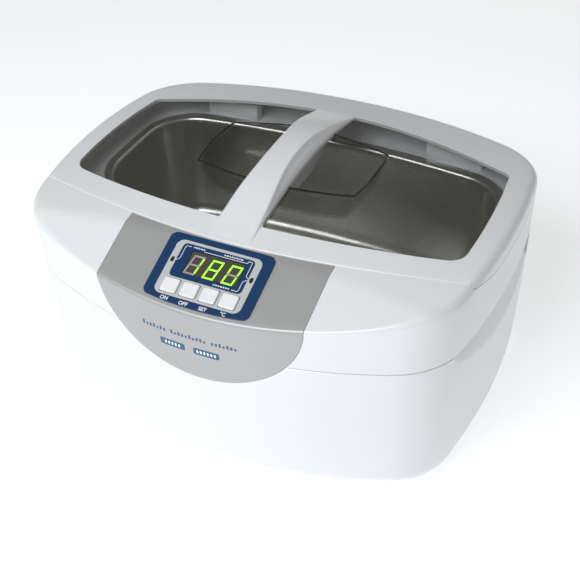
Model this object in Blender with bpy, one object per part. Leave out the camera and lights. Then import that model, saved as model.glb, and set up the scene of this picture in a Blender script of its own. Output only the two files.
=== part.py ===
"""Ultrasonic cleaner with a hinged lid, in metres, +Z up.

The front, with the control panel, faces -Y and the lid hinges at the rear, +Y.
The origin is the middle of the foot plane under the whole machine's box.
"""
import math

import bmesh
import bpy
from mathutils import Matrix, Vector

MM = 0.001

# Driving dimensions
HALF_WIDTH = 150 * MM
HALF_DEPTH = 122.6 * MM           # casing, front wall to rear wall
SHIFT_Y = -1.8 * MM               # casing's middle, so that the hinges stay inside the centred box
BOTTOM_Z = 1.5 * MM               # underside of the casing; the feet stand out that far
SEAM_Z = 103.6 * MM               # joint between the two halves of the casing
WALL = 2.6 * MM
GAP = 0.35 * MM                   # clearance between neighbours
BOTTOM_FILLET = 13 * MM
TOP_FILLET = 5.5 * MM
ROOF_Z = 150.6 * MM               # roof height at its middle, without the crown
CROWN = 9 * MM                    # how far the lid's middle bulges above that
SKIRT = 11.5 * MM                 # depth of the lid's skirt at the sides and the rear
LID_WALL = 2.6 * MM
FACET_Z = 178.5 * MM              # the control facet is the plane z = FACET_Z + FACET_SLOPE * y
FACET_SLOPE = 0.40
DECK_Z = 126.5 * MM               # ledge that carries the tank
TANK_RIM_Z = 129.3 * MM
TANK_FLOOR_Z = 50 * MM
SHEET = 1.0 * MM                  # steel of the tank
HANDLE_RISE = 8.6 * MM            # how far the bridge handle stands over the roof
HANDLE_MIDDLE, HANDLE_REACH = 6 * MM, 81 * MM
HINGE_Y = 122.9 * MM
HINGE_Z = 129.4 * MM
HINGE_MIDDLE = 42 * MM            # each hinge's middle, to the left and the right
LID_KNUCKLE_WIDTH = 16 * MM
KNUCKLE_WIDTH = 9 * MM
HOUSING_KNUCKLES = (HINGE_MIDDLE - 12.9 * MM, HINGE_MIDDLE + 12.9 * MM)
KNUCKLE_RADIUS = 3.3 * MM
PIN_RADIUS = 1.3 * MM
WELL_DEPTH = 29 * MM


def material(name, colour, roughness, metallic=0.0, alpha=1.0):
    made = bpy.data.materials.get(name)
    if made is None:
        made = bpy.data.materials.new(name)
        made.use_nodes = True
        shader = made.node_tree.nodes["Principled BSDF"]
        shader.inputs["Base Color"].default_value = (*colour, 1.0)
        shader.inputs["Roughness"].default_value = roughness
        shader.inputs["Metallic"].default_value = metallic
        shader.inputs["Alpha"].default_value = alpha
    return made


def new_object(name, mesh, finish, turn=Matrix.Identity(4)):
    """Link a mesh under the machine's frame, with its faces pointing outwards."""
    work = bmesh.new()
    work.from_mesh(mesh)
    bmesh.ops.remove_doubles(work, verts=work.verts, dist=1e-7)
    bmesh.ops.recalc_face_normals(work, faces=work.faces)
    work.to_mesh(mesh)
    work.free()
    made = bpy.data.objects.new(name, mesh)
    bpy.context.scene.collection.objects.link(made)
    made.parent = bpy.data.objects["machine_frame"]
    made.matrix_local = turn
    if finish:
        mesh.materials.append(finish)
    else:
        made.hide_render = True
        made.display_type = "WIRE"
    return made


def from_points(name, points, faces, finish=None, turn=Matrix.Identity(4)):
    mesh = bpy.data.meshes.new(name)
    mesh.from_pydata([tuple(p) for p in points], [], faces)
    return new_object(name, mesh, finish, turn)


def loft(name, rings, finish=None, turn=Matrix.Identity(4), closed_tube=False):
    """Skin equal rings of points. The ends are capped, or joined when the rings run in a loop."""
    count = len(rings[0])
    points = [p for ring in rings for p in ring]
    faces = []
    steps = len(rings) if closed_tube else len(rings) - 1
    for step in range(steps):
        low, high = step * count, ((step + 1) % len(rings)) * count
        for k in range(count):
            after = (k + 1) % count
            faces.append((low + k, low + after, high + after, high + k))
    if not closed_tube:
        faces.append(tuple(range(count)))
        faces.append(tuple(range((len(rings) - 1) * count, len(rings) * count)))
    return from_points(name, points, faces, finish, turn)


def box(name, low, high, finish=None, turn=Matrix.Identity(4)):
    corners = [(low[0], low[1]), (high[0], low[1]), (high[0], high[1]), (low[0], high[1])]
    return loft(name, [[(x, y, z) for x, y in corners] for z in (low[2], high[2])], finish, turn)


def prism(name, outline, low, high, finish=None, turn=Matrix.Identity(4)):
    """Extrude a plan outline. low and high are heights, or functions of x and y."""
    level = [h if callable(h) else (lambda x, y, fixed=h: fixed) for h in (low, high)]
    return loft(name, [[(x, y, h(x, y)) for x, y in outline] for h in level], finish, turn)


def turned(name, profile, sides, finish=None, turn=Matrix.Identity(4)):
    """Turn a profile of (radius, height) pairs about Z. A profile with a bore is a closed loop."""
    bored = all(radius > 0 for radius, _ in profile) and profile[0] == profile[-1]
    used = profile[:-1] if bored else profile
    rings = []
    for radius, height in used:
        angles = [2 * math.pi * k / sides for k in range(sides)]
        rings.append([(radius * math.cos(a), radius * math.sin(a), height) for a in angles])
    return loft(name, rings, finish, turn, closed_tube=bored)


def cut(target, *cutters, operation="DIFFERENCE"):
    for cutter in cutters:
        boolean = target.modifiers.new(cutter.name, "BOOLEAN")
        boolean.operation = operation
        boolean.object = cutter
        boolean.solver = "EXACT"
    return target


def rounded_rectangle(width, depth, radius, steps=4, centre=(0, 0)):
    points = []
    for corner, (sx, sy) in enumerate(((1, 1), (-1, 1), (-1, -1), (1, -1))):
        for k in range(steps + 1):
            angle = math.pi / 2 * (corner + k / steps)
            points.append((centre[0] + sx * (width / 2 - radius) + radius * math.cos(angle),
                           centre[1] + sy * (depth / 2 - radius) + radius * math.sin(angle)))
    return points


def rounded_polygon(corners, radii, steps=4):
    """Round each corner of a plan polygon with its own radius."""
    points = []
    for k, corner in enumerate(corners):
        if radii[k] == 0:
            points.append(tuple(corner))
            continue
        here = Vector(corner)
        back = (Vector(corners[k - 1]) - here).normalized()
        ahead = (Vector(corners[(k + 1) % len(corners)]) - here).normalized()
        half = back.angle(ahead) / 2
        reach = radii[k] / math.tan(half)
        centre = here + (back + ahead).normalized() * (radii[k] / math.sin(half))
        start, end = here + back * reach - centre, here + ahead * reach - centre
        for step in range(steps + 1):
            blend = start.lerp(end, step / steps)
            points.append(tuple(centre + blend.normalized() * radii[k]))
    return points


class Form:
    """A plan of four large arcs with tangent corner arcs, symmetric about X = 0."""

    def __init__(self, half_width, front, rear, front_radius, rear_radius, side_radius, corner, side_y):
        self.half_width, self.front, self.rear = half_width, front, rear
        self.front_radius, self.rear_radius, self.side_radius = front_radius, rear_radius, side_radius
        self.corner, self.side_y = corner, side_y

    def outline(self, inset=0.0, long_steps=6, corner_steps=5):
        front_centre = Vector((0, self.front + self.front_radius))
        rear_centre = Vector((0, self.rear - self.rear_radius))
        side_centre = Vector((self.half_width - self.side_radius, self.side_y))
        front_corner = self._corner_centre(front_centre, self.front_radius, side_centre, -1)
        rear_corner = self._corner_centre(rear_centre, self.rear_radius, side_centre, 1)
        bearing = [self._angle(front_centre, front_corner), self._angle(side_centre, front_corner),
                   self._angle(side_centre, rear_corner), self._angle(rear_centre, rear_corner)]
        right = self._arc(front_centre, self.front_radius - inset, -math.pi / 2, bearing[0], long_steps)
        right += self._arc(front_corner, self.corner - inset, bearing[0], bearing[1], corner_steps)
        right += self._arc(side_centre, self.side_radius - inset, bearing[1], bearing[2], long_steps)
        right += self._arc(rear_corner, self.corner - inset, bearing[2], bearing[3], corner_steps)
        right += self._arc(rear_centre, self.rear_radius - inset, bearing[3], math.pi / 2, long_steps)
        left = [(-x, y) for x, y in reversed(right[1:])]
        return right + [(0, self.rear - inset)] + left

    def _corner_centre(self, one, one_radius, other, upwards):
        gap = other - one
        distance = gap.length
        reach, far = one_radius - self.corner, self.side_radius - self.corner
        along = (reach ** 2 - far ** 2 + distance ** 2) / (2 * distance)
        aside = math.sqrt(reach ** 2 - along ** 2)
        unit = gap / distance
        normal = Vector((-unit.y, unit.x))
        both = [one + unit * along + normal * aside, one + unit * along - normal * aside]
        return max(both, key=lambda p: p.x + upwards * p.y)

    @staticmethod
    def _angle(centre, point):
        return math.atan2(point.y - centre.y, point.x - centre.x)

    @staticmethod
    def _arc(centre, radius, start, end, steps):
        angles = [start + (end - start) * k / steps for k in range(steps)]
        return [(centre.x + radius * math.cos(a), centre.y + radius * math.sin(a)) for a in angles]


casing_form = Form(HALF_WIDTH, -HALF_DEPTH, HALF_DEPTH, 282 * MM, 365 * MM, 420 * MM, 48 * MM, 9 * MM)
tank_form = Form(127 * MM, -34 * MM, 80.5 * MM, 800 * MM, 725 * MM, 600 * MM, 32 * MM, 23 * MM)


def draft(z):
    """How far the wall leans in at a height: it bows outwards towards the rim."""
    below = 1 - z / ROOF_Z
    return (1.5 * below + 4.5 * below * below) * MM


def base_roof(x, y):
    return ROOF_Z - 0.603 * (y + 8.3 * MM) ** 2 - 0.153 * x * x


def roof(x, y):
    across = max(0.0, 1 - (x / (135 * MM)) ** 2)
    along = max(0.0, 1 - ((y - 21.6 * MM) / (111 * MM)) ** 2)
    return base_roof(x, y) + CROWN * across ** 2 * along ** 2


def facet(x, y):
    return FACET_Z + FACET_SLOPE * y


def seam_y(x):
    """The lid's front edge in plan."""
    u = x / (100 * MM)
    return (-75.4 + 11.8 * u * u - 0.8 * u ** 4) * MM


def parting(x, y):
    """Height of the lid's skirt edge: it runs up onto the roof at the front corners."""
    ramp = min(1.0, max(0.0, (y + 60 * MM) / (35 * MM)))
    return base_roof(x, y) - (1.0 * MM + (SKIRT - 1.0 * MM) * ramp)


def casing_rings(low, inset=0.0, lowered=0.0, fillet_steps=4):
    """Rings of the whole casing's form, from height low to the middle of its roof."""
    rings = []
    for z in [low] + [h * MM for h in (75, 89, 103.6, 118, 128) if h * MM > low + 2 * MM]:
        rings.append([(x, y, z) for x, y in casing_form.outline(draft(z) + inset)])
    radius = TOP_FILLET
    for step in range(fillet_steps + 1):
        angle = math.pi / 2 * step / fillet_steps
        pulled = radius * (1 - math.cos(angle)) + inset
        drop = radius * (1 - math.sin(angle)) + lowered
        rings.append([(x, y, roof(x, y) - drop) for x, y in casing_form.outline(pulled)])
    outer = rings[-1]
    for part in (0.86, 0.72, 0.57, 0.42, 0.27, 0.13):
        rings.append([(x * part, y * part, roof(x * part, y * part) - lowered) for x, y, _ in outer])
    return rings


def front_block(name, offset, low=90 * MM):
    """Everything in front of the lid's front edge, moved back by offset."""
    across = [(-160 + 10 * k) * MM for k in range(33)]
    edge = [(x, seam_y(max(-146 * MM, min(146 * MM, x))) + offset) for x in across]
    outline = [(across[0], -200 * MM), (across[-1], -200 * MM)] + edge[::-1]
    return prism(name, outline, low, 200 * MM)


def facet_block(name, lowered):
    """The space above the control facet."""
    outline = [(-170 * MM, -170 * MM), (170 * MM, -170 * MM), (170 * MM, -20 * MM), (-170 * MM, -20 * MM)]
    return prism(name, outline, lambda x, y: facet(x, y) - lowered, 260 * MM)


def lid_space(name, offset, lowered):
    """The space behind the lid's front edge and above its skirt's edge."""
    across = [(-156 + 13 * k) * MM for k in range(25)]
    rows = 18
    points, faces = [], []
    for top in (False, True):
        for x in across:
            start = seam_y(max(-146 * MM, min(146 * MM, x))) + offset
            for k in range(rows + 1):
                y = start + (140 * MM - start) * k / rows
                points.append((x, y, 220 * MM if top else parting(x, y) - lowered))
    width = rows + 1
    layer = len(across) * width
    for i in range(len(across) - 1):
        for k in range(rows):
            a = i * width + k
            faces.append((a, a + 1, a + width + 1, a + width))
            faces.append(tuple(layer + v for v in (a, a + width, a + width + 1, a + 1)))
    rim = [k for k in range(width)]
    rim += [i * width + rows for i in range(1, len(across))]
    rim += [(len(across) - 1) * width + k for k in range(rows - 1, -1, -1)]
    rim += [i * width for i in range(len(across) - 2, 0, -1)]
    for k, a in enumerate(rim):
        b = rim[(k + 1) % len(rim)]
        faces.append((a, layer + a, layer + b, b))
    return from_points(name, points, faces)


def finishes():
    return {
        "white": material("white_plastic", (0.83, 0.84, 0.86), 0.28),
        "smoke": material("smoked_window", (0.09, 0.09, 0.06), 0.08, alpha=0.6),
        "steel": material("tank_steel", (0.62, 0.63, 0.62), 0.3, 1.0),
        "aluminium": material("aluminium", (0.66, 0.66, 0.67), 0.4, 1.0),
        "silver": material("fascia_silver", (0.42, 0.43, 0.43), 0.45, 0.3),
        "blue": material("overlay_blue", (0.02, 0.05, 0.2), 0.35),
        "button": material("button_white", (0.8, 0.81, 0.82), 0.35),
        "lens": material("display_lens", (0.05, 0.05, 0.04), 0.1),
        "rubber": material("dark_rubber", (0.04, 0.04, 0.04), 0.8),
        "board": material("circuit_board", (0.03, 0.22, 0.1), 0.5),
        "black": material("black_plastic", (0.03, 0.03, 0.03), 0.45),
        "screw": material("screw_steel", (0.5, 0.5, 0.52), 0.3, 1.0),
        "ceramic": material("piezo_ceramic", (0.16, 0.15, 0.14), 0.6),
        "copper": material("winding_yellow", (0.75, 0.6, 0.12), 0.5),
        "silicone": material("heater_silicone", (0.55, 0.17, 0.05), 0.6),
    }


# The control panel's own frame: u across, v up the facet, w out of it.
SLOPE = math.atan(FACET_SLOPE)
PANEL_Y = -98 * MM
PANEL = (Matrix.Translation((0, PANEL_Y, facet(0, PANEL_Y))) @ Matrix.Rotation(SLOPE, 4, "X"))
DISPLAY_U, DISPLAY_V = 1.2 * MM, 5.2 * MM
DISPLAY_SIZE = (35.4 * MM, 16 * MM)
BUTTON_V = -12.4 * MM
BUTTON_PITCH = 12.8 * MM
BUTTON_SIZE = (10.4 * MM, 9.4 * MM)
BUTTONS = ("on", "off", "set", "temperature")
FASCIA_HALF = 67.5 * MM
FASCIA_THICK = 0.8 * MM
LOBE_TOP, LOBE_DEPTH = 133.5 * MM, 53.5 * MM


def shield(name, grown, front=-160 * MM, back=-55 * MM):
    """The fascia's outline seen from the front, as a block along Y: straight sides above a half ellipse."""
    half = FASCIA_HALF + grown
    outline = [(-half, 190 * MM), (-half, LOBE_TOP)]
    for k in range(1, 16):
        angle = math.pi * k / 16
        outline.append((-half * math.cos(angle), LOBE_TOP - (LOBE_DEPTH + grown) * math.sin(angle)))
    outline += [(half, LOBE_TOP), (half, 190 * MM)]
    return loft(name, [[(x, y, z) for x, z in outline] for y in (front, back)])


def casing_core(name, inset):
    """The casing's form shrunk by inset on every face, the control facet included."""
    core = loft(name, casing_rings(70 * MM, inset, inset, 3))
    return cut(core, facet_block(name + "_facet", inset))


def fascia_recess(name):
    """The shallow bed of the silver fascia, which runs over the casing's joint."""
    pocket = shield(name, 0.3 * MM)
    return cut(pocket, casing_core(name + "_bed", FASCIA_THICK + 0.3 * MM))


def control_opening(name, grown):
    outline = rounded_rectangle(55 * MM + grown, 37 * MM + grown, 2 * MM, 2, (0, -0.2 * MM))
    return prism(name, outline, -12 * MM, 12 * MM, turn=PANEL)


def grip(name, side, thick):
    """The scoop under the casing's joint that the fingers lift by."""
    outline = [(-73 * MM - thick, SEAM_Z + 9 * MM), (-60 * MM - thick, 77 * MM - thick),
               (58 * MM + thick, 77 * MM - thick), (70 * MM + thick, SEAM_Z + 9 * MM)]
    inner, outer = (142.5 * MM - thick) * side, 170 * MM * side
    return loft(name, [[(x, y, z) for y, z in outline] for x in (inner, outer)])


FEET = [(sx * 112 * MM, y) for sx in (-1, 1) for y in (-58 * MM, 62 * MM)]
CASING_SCREWS = [(sx * x, y) for sx in (-1, 1) for x, y in ((88 * MM, -74 * MM), (100 * MM, 83 * MM))]
BOARD_POSTS = [(sx * 66 * MM, y) for sx in (-1, 1) for y in (-92 * MM, -56 * MM)]
FAN_X, FAN_Z, FAN_SIZE, FAN_DEPTH = -60 * MM, 52 * MM, 60 * MM, 15 * MM
FAN_Y = 88.5 * MM
INLET_X, INLET_Z = 74 * MM, 40 * MM
INLET_ANGLE = math.asin(INLET_X / (365 * MM))
INLET = (Matrix.Translation((INLET_X, 111.4 * MM, INLET_Z)) @ Matrix.Rotation(-INLET_ANGLE, 4, "Z")
         @ Matrix.Rotation(math.radians(-90), 4, "X"))


def place(x, y, z):
    return Matrix.Translation((x, y, z))


def post(name, x, y, radius, low, high, sides=12, finish=None):
    return turned(name, [(radius, low), (radius, high)], sides, finish, place(x, y, 0))


def build_lower_housing(finish):
    rings = []
    for step in range(4):
        angle = math.pi / 2 * step / 4
        height = BOTTOM_Z + BOTTOM_FILLET * (1 - math.cos(angle))
        rings.append([(x, y, height) for x, y in
                      casing_form.outline(draft(height) + BOTTOM_FILLET * (1 - math.sin(angle)))])
    for height in (14.5 * MM, 45 * MM, 75 * MM, 89 * MM, SEAM_Z - GAP / 2):
        rings.append([(x, y, height) for x, y in casing_form.outline(draft(height))])
    housing = loft("lower_housing", rings, finish)

    floor = BOTTOM_Z + 3 * MM
    inner = [[(x, y, z) for x, y in casing_form.outline(draft(z) + WALL + extra)]
             for z, extra in ((floor, 9 * MM), (floor + 3 * MM, 3 * MM), (floor + 9 * MM, 0),
                              (60 * MM, 0), (SEAM_Z + 5 * MM, 0))]
    cavity = loft("lower_cavity", inner)
    cut(cavity, grip("grip_liner_right", 1, WALL), grip("grip_liner_left", -1, WALL))
    for k, (x, y) in enumerate(FEET):
        cut(cavity, post(f"foot_boss_{k}", x, y, 12 * MM, 0, 8 * MM))
    for k, (x, y) in enumerate(CASING_SCREWS):
        cut(cavity, post(f"screw_boss_{k}", x, y, 6.5 * MM, 0, 11 * MM))
    for k, (x, y) in enumerate(BOARD_POSTS):
        cut(cavity, post(f"board_boss_{k}", x, y, 3.5 * MM, 0, 12 * MM, 8))
    cut(housing, cavity, grip("grip_right", 1, 0), grip("grip_left", -1, 0))

    for k, (x, y) in enumerate(FEET):
        cut(housing, turned(f"foot_seat_{k}", [(9.4 * MM, -1 * MM), (9.4 * MM, 4 * MM), (1.2 * MM, 4 * MM),
                                               (1.2 * MM, 7 * MM)], 16, turn=place(x, y, 0)))
    for k, (x, y) in enumerate(CASING_SCREWS):
        cut(housing, turned(f"screw_seat_{k}", [(4.2 * MM, -1 * MM), (4.2 * MM, 6 * MM), (2.0 * MM, 6 * MM),
                                                (2.0 * MM, 13 * MM)], 12, turn=place(x, y, 0)))
    for k in range(8):
        x = FAN_X + (k - 3.5) * 6 * MM
        low, high = (x - 1.5 * MM, 96 * MM, 30 * MM), (x + 1.5 * MM, 130 * MM, 74 * MM)
        cut(housing, box(f"rear_vent_{k}", low, high))
    for k in range(7):
        y = (-20 + 10 * k) * MM
        low, high = (-26 * MM, y - 1.5 * MM, -2 * MM), (26 * MM, y + 1.5 * MM, 9 * MM)
        cut(housing, box(f"floor_vent_{k}", low, high))
    hole = rounded_rectangle(28.2 * MM, 21.2 * MM, 3 * MM, 2)
    seat = rounded_rectangle(52 * MM, 27 * MM, 3 * MM, 2)
    cut(housing, prism("inlet_hole", hole, -12 * MM, 12 * MM, turn=INLET),
        prism("inlet_seat", seat, -GAP, 12 * MM, turn=INLET), fascia_recess("fascia_recess_low"))
    return housing


def build_upper_housing(finish):
    housing = loft("upper_housing", casing_rings(SEAM_Z + GAP / 2), finish)
    recess = prism("deck_recess", casing_form.outline(draft(130 * MM) + 3.2 * MM), DECK_Z, 230 * MM)
    cut(recess, front_block("deck_recess_front", WALL))
    under = loft("deck_underside", [[(x, y, z) for x, y in casing_form.outline(draft(z) + WALL)]
                                    for z in (96 * MM, DECK_Z - WALL)])
    nose_line = [(x, y) for x, y in casing_form.outline(draft(120 * MM) + WALL + 0.5 * MM) if y < -84 * MM
                 and abs(x) < 106 * MM]
    nose_line.sort()
    nose = nose_line + [(nose_line[-1][0], -79 * MM), (nose_line[0][0], -79 * MM)]
    under_facet = prism("facet_underside", nose, 110 * MM, lambda x, y: facet(x, y) - WALL - 0.4 * MM)
    cut(housing, facet_block("facet_cut", 0), lid_space("lid_space", 0, GAP), recess, under, under_facet)
    cut(housing, prism("tank_hole", tank_form.outline(-SHEET - 0.6 * MM), 110 * MM, 140 * MM))
    for k, (x, y) in enumerate(CASING_SCREWS):
        cut(housing, post(f"post_low_{k}", x, y, 5 * MM, 11.4 * MM, 124.5 * MM), operation="UNION")
        cut(housing, post(f"post_bore_{k}", x, y, 1.5 * MM, 5 * MM, 34 * MM, 8))
    for side in (-1, 1):
        for k, x in enumerate(HOUSING_KNUCKLES):
            eye = knuckle(f"housing_knuckle_{side}_{k}", x * side, KNUCKLE_WIDTH, False)
            cut(housing, eye, operation="UNION")
        width = LID_KNUCKLE_WIDTH + 1 * MM
        cut(housing, knuckle_room(f"lid_knuckle_room_{side}", HINGE_MIDDLE * side, width, False))
        cut(housing, pin_hole(f"housing_pin_hole_{side}", side))
    for side in (-1, 1):
        ledge = box(f"hinge_ledge_{side}", (min(64 * side, 104 * side) * MM, 87.5 * MM, DECK_Z - 1 * MM),
                    (max(64 * side, 104 * side) * MM, 96 * MM, 139 * MM))
        cut(housing, ledge, operation="UNION")
    cut(housing, fascia_recess("fascia_recess_high"), control_opening("control_opening_housing", 0.6 * MM))
    return housing


def barrel_points(radius, sides=12):
    angles = [2 * math.pi * k / sides for k in range(sides)]
    return [(HINGE_Y + radius * math.cos(a), HINGE_Z + radius * math.sin(a)) for a in angles]


def knuckle(name, x, width, of_lid):
    """A hinge eye with the web that carries it from the wall or from the lid's skirt."""
    root = 118.2 * MM
    arc = [p for p in barrel_points(KNUCKLE_RADIUS)
           if (p[1] >= HINGE_Z - 1e-6) != of_lid or p[0] > HINGE_Y + 1 * MM]
    if of_lid:
        web = [(HINGE_Y + 1 * MM, HINGE_Z + 6.5 * MM), (root, HINGE_Z + 6.5 * MM), (root, HINGE_Z - 1.5 * MM)]
    else:
        web = [(root, HINGE_Z + 1.5 * MM), (root, HINGE_Z - 9 * MM), (HINGE_Y + 0.5 * MM, HINGE_Z - 9 * MM)]
    corners = convex(arc + web)
    return loft(name, [[(end, y, z) for y, z in corners] for end in (x - width / 2, x + width / 2)])


def convex(points):
    """Convex outline of a few points, counterclockwise."""
    ordered = sorted(set((round(a, 7), round(b, 7)) for a, b in points))

    def half_of(sequence):
        chain = []
        for p in sequence:
            while len(chain) > 1:
                (ax, ay), (bx, by) = chain[-2], chain[-1]
                if (bx - ax) * (p[1] - ay) - (by - ay) * (p[0] - ax) > 0:
                    break
                chain.pop()
            chain.append(p)
        return chain[:-1]
    return half_of(ordered) + half_of(reversed(ordered))


def knuckle_room(name, x, width, of_lid):
    """Room for the other half's eye. It cuts the lid's skirt, or the casing's rear wall."""
    reach = KNUCKLE_RADIUS + 0.5 * MM
    low, high = (HINGE_Z - 8 * MM, HINGE_Z + reach) if of_lid else (HINGE_Z - reach, HINGE_Z + 8 * MM)
    return box(name, (x - width / 2, 112 * MM, low), (x + width / 2, 130 * MM, high))


def pin_hole(name, side):
    reach = 19 * MM
    rings = [[(HINGE_MIDDLE * side + x, y, z) for y, z in barrel_points(PIN_RADIUS + 0.3 * MM, 12)]
             for x in (-reach, reach)]
    return loft(name, rings)


def build_hinge_pins(finish):
    for name, side in (("hinge_pin_left", -1), ("hinge_pin_right", 1)):
        rings = [[(HINGE_MIDDLE * side + x, y, z) for y, z in barrel_points(PIN_RADIUS, 12)]
                 for x in (-16.8 * MM, 16.8 * MM)]
        loft(name, rings, finish)


def window_outline(side, inset, radii=(3 * MM, 12 * MM, 6 * MM, 3 * MM), steps=5):
    """One of the two window openings: straight beside the handle, bowed on the other three sides."""
    inner, outer_front, outer_rear = 14.2 * MM + inset, 132 * MM - inset, 129.5 * MM - inset

    def front(x):
        return -57.5 * MM + 1.1 * x * x + inset

    def rear(x):
        return 84.5 * MM - 1.35 * x * x - inset

    points, rounding = [(inner, rear(inner)), (inner, front(inner))], [radii[3], radii[0]]
    for k in range(1, steps):
        x = inner + (outer_front - inner) * k / steps
        points.append((x, front(x)))
        rounding.append(0)
    points.append((outer_front, front(outer_front)))
    rounding.append(radii[1] - inset)
    for k in range(1, steps):
        t = k / steps
        x = outer_front + (outer_rear - outer_front) * t + 2.6 * MM * 4 * t * (1 - t)
        points.append((x, front(outer_front) + (rear(outer_rear) - front(outer_front)) * t))
        rounding.append(0)
    points.append((outer_rear, rear(outer_rear)))
    rounding.append(radii[2])
    for k in range(steps - 1, 0, -1):
        x = inner + (outer_rear - inner) * k / steps
        points.append((x, rear(x)))
        rounding.append(0)
    return [(side * x, y) for x, y in rounded_polygon(points, rounding, 4)]


def handle_share(y):
    """1 in the handle's middle, falling smoothly to 0 at its two ends."""
    away = abs(y - HANDLE_MIDDLE) / HANDLE_REACH
    return max(0.0, 1 - away ** 2.4) ** 1.7


WELL_FRONT, WELL_REAR = -20.5 * MM, 48 * MM


def well_outline(scale, inset, steps=6):
    """The finger well in plan: a boat shape with bowed ends and sides."""
    front_corner, rear_corner = (53.5 * MM, -11.5 * MM), (54.5 * MM, 40.5 * MM)
    middle = Vector((0, (WELL_FRONT + WELL_REAR) / 2))
    right = []
    for k in range(steps):
        t = k / steps
        right.append((front_corner[0] * t, WELL_FRONT + (front_corner[1] - WELL_FRONT) * t * t))
    for k in range(steps):
        t = k / steps
        x = front_corner[0] + (rear_corner[0] - front_corner[0]) * t + 2.6 * MM * 4 * t * (1 - t)
        right.append((x, front_corner[1] + (rear_corner[1] - front_corner[1]) * t))
    for k in range(steps + 1):
        t = 1 - k / steps
        right.append((rear_corner[0] * t, WELL_REAR + (rear_corner[1] - WELL_REAR) * t * t))
    left = [(-x, y) for x, y in reversed(right[1:-1])]
    points = []
    for x, y in right + left:
        away = Vector((x, y)) - middle
        away *= scale * (1 - inset / away.length)
        points.append((middle.x + away.x, middle.y + away.y))
    return points


def build_lid_frame(finish):
    lid = loft("lid_frame", casing_rings(100 * MM), finish)
    hollow = loft("lid_hollow", casing_rings(90 * MM, LID_WALL, LID_WALL))
    cut(hollow, front_block("lid_hollow_front", LID_WALL + GAP))
    cut(lid, lid_space("lid_reach", GAP, 0), operation="INTERSECT")
    cut(lid, hollow)
    for name, side in (("left", -1), ("right", 1)):
        cut(lid, prism(f"window_opening_{name}", window_outline(side, 0), 120 * MM, 200 * MM))
    gap_box = box("handle_gap", (-19.7 * MM, -55.6 * MM, 120 * MM), (19.3 * MM, 82.7 * MM, 200 * MM))
    cut(lid, gap_box)
    cut(lid, handle_beam("handle_beam"), operation="UNION")
    for side in (-1, 1):
        for k, x in enumerate(HOUSING_KNUCKLES):
            width = KNUCKLE_WIDTH + 0.8 * MM
            cut(lid, knuckle_room(f"housing_knuckle_room_{side}_{k}", x * side, width, True))
        eye = knuckle(f"lid_knuckle_{side}", HINGE_MIDDLE * side, LID_KNUCKLE_WIDTH, True)
        cut(lid, eye, operation="UNION")
        cut(lid, pin_hole(f"lid_pin_hole_{side}", side))
    return lid


def handle_beam(name):
    """The bridge: an arched bar with sloping cheeks and a keel that hangs into the finger well."""
    rings = []
    start, end, steps = -70 * MM, 96 * MM, 22
    for k in range(steps + 1):
        y = start + (end - start) * k / steps
        edge = roof(14 * MM, y)
        share = handle_share(y)
        rise = HANDLE_RISE * share + 0.25 * MM
        top, half = edge + rise, 13.3 - 4.3 * share ** 3
        from_middle = (2 * y - WELL_FRONT - WELL_REAR) / (WELL_REAR - WELL_FRONT - 14 * MM)
        hang = 16 * MM * math.sqrt(max(0.0, 1 - from_middle ** 2))
        low = edge - 1.9 * MM - hang
        section = [(14, edge - 1.9 * MM), (14, edge - 0.2 * MM), (0.3 * half + 9.8, edge + rise * 0.5),
                   (half, top - 0.12 * rise), (half - 1.2, top - 0.03 * rise), (0, top)]
        right = [(x * MM, z) for x, z in section]
        keel = [(11.5 * MM, edge - 2.1 * MM), (11 * MM, low - 0.2 * MM + 1.5 * MM), (8 * MM, low - 0.2 * MM)]
        ring = right + [(-x, z) for x, z in reversed(right[:-1])]
        ring += [(-x, z) for x, z in keel] + [(x, z) for x, z in reversed(keel)]
        rings.append([(x, y, z) for x, z in ring])
    return loft(name, rings)


def sheet_block(name, top, bottom, finish=None):
    """A domed sheet that follows the roof, between two depths below it."""
    columns, rows = 20, 12
    points, faces = [], []
    for depth in (top, bottom):
        for i in range(columns + 1):
            u = -1 + 2 * i / columns
            x = u * 137 * MM
            low = -62 * MM + 1.1 * x * x
            high = 89 * MM - 1.35 * x * x
            for k in range(rows + 1):
                y = low + (high - low) * k / rows
                points.append((x, y, roof(x, y) - depth))
    width = rows + 1
    layer = (columns + 1) * width
    for i in range(columns):
        for k in range(rows):
            a = i * width + k
            faces.append((a, a + width, a + width + 1, a + 1))
            faces.append(tuple(layer + v for v in (a, a + 1, a + width + 1, a + width)))
    rim = [k for k in range(width)] + [i * width + rows for i in range(1, columns + 1)]
    rim += [columns * width + k for k in range(rows - 1, -1, -1)]
    rim += [i * width for i in range(columns - 1, 0, -1)]
    for k, a in enumerate(rim):
        b = rim[(k + 1) % len(rim)]
        faces.append((a, b, layer + b, layer + a))
    return from_points(name, points, faces, finish)


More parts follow.
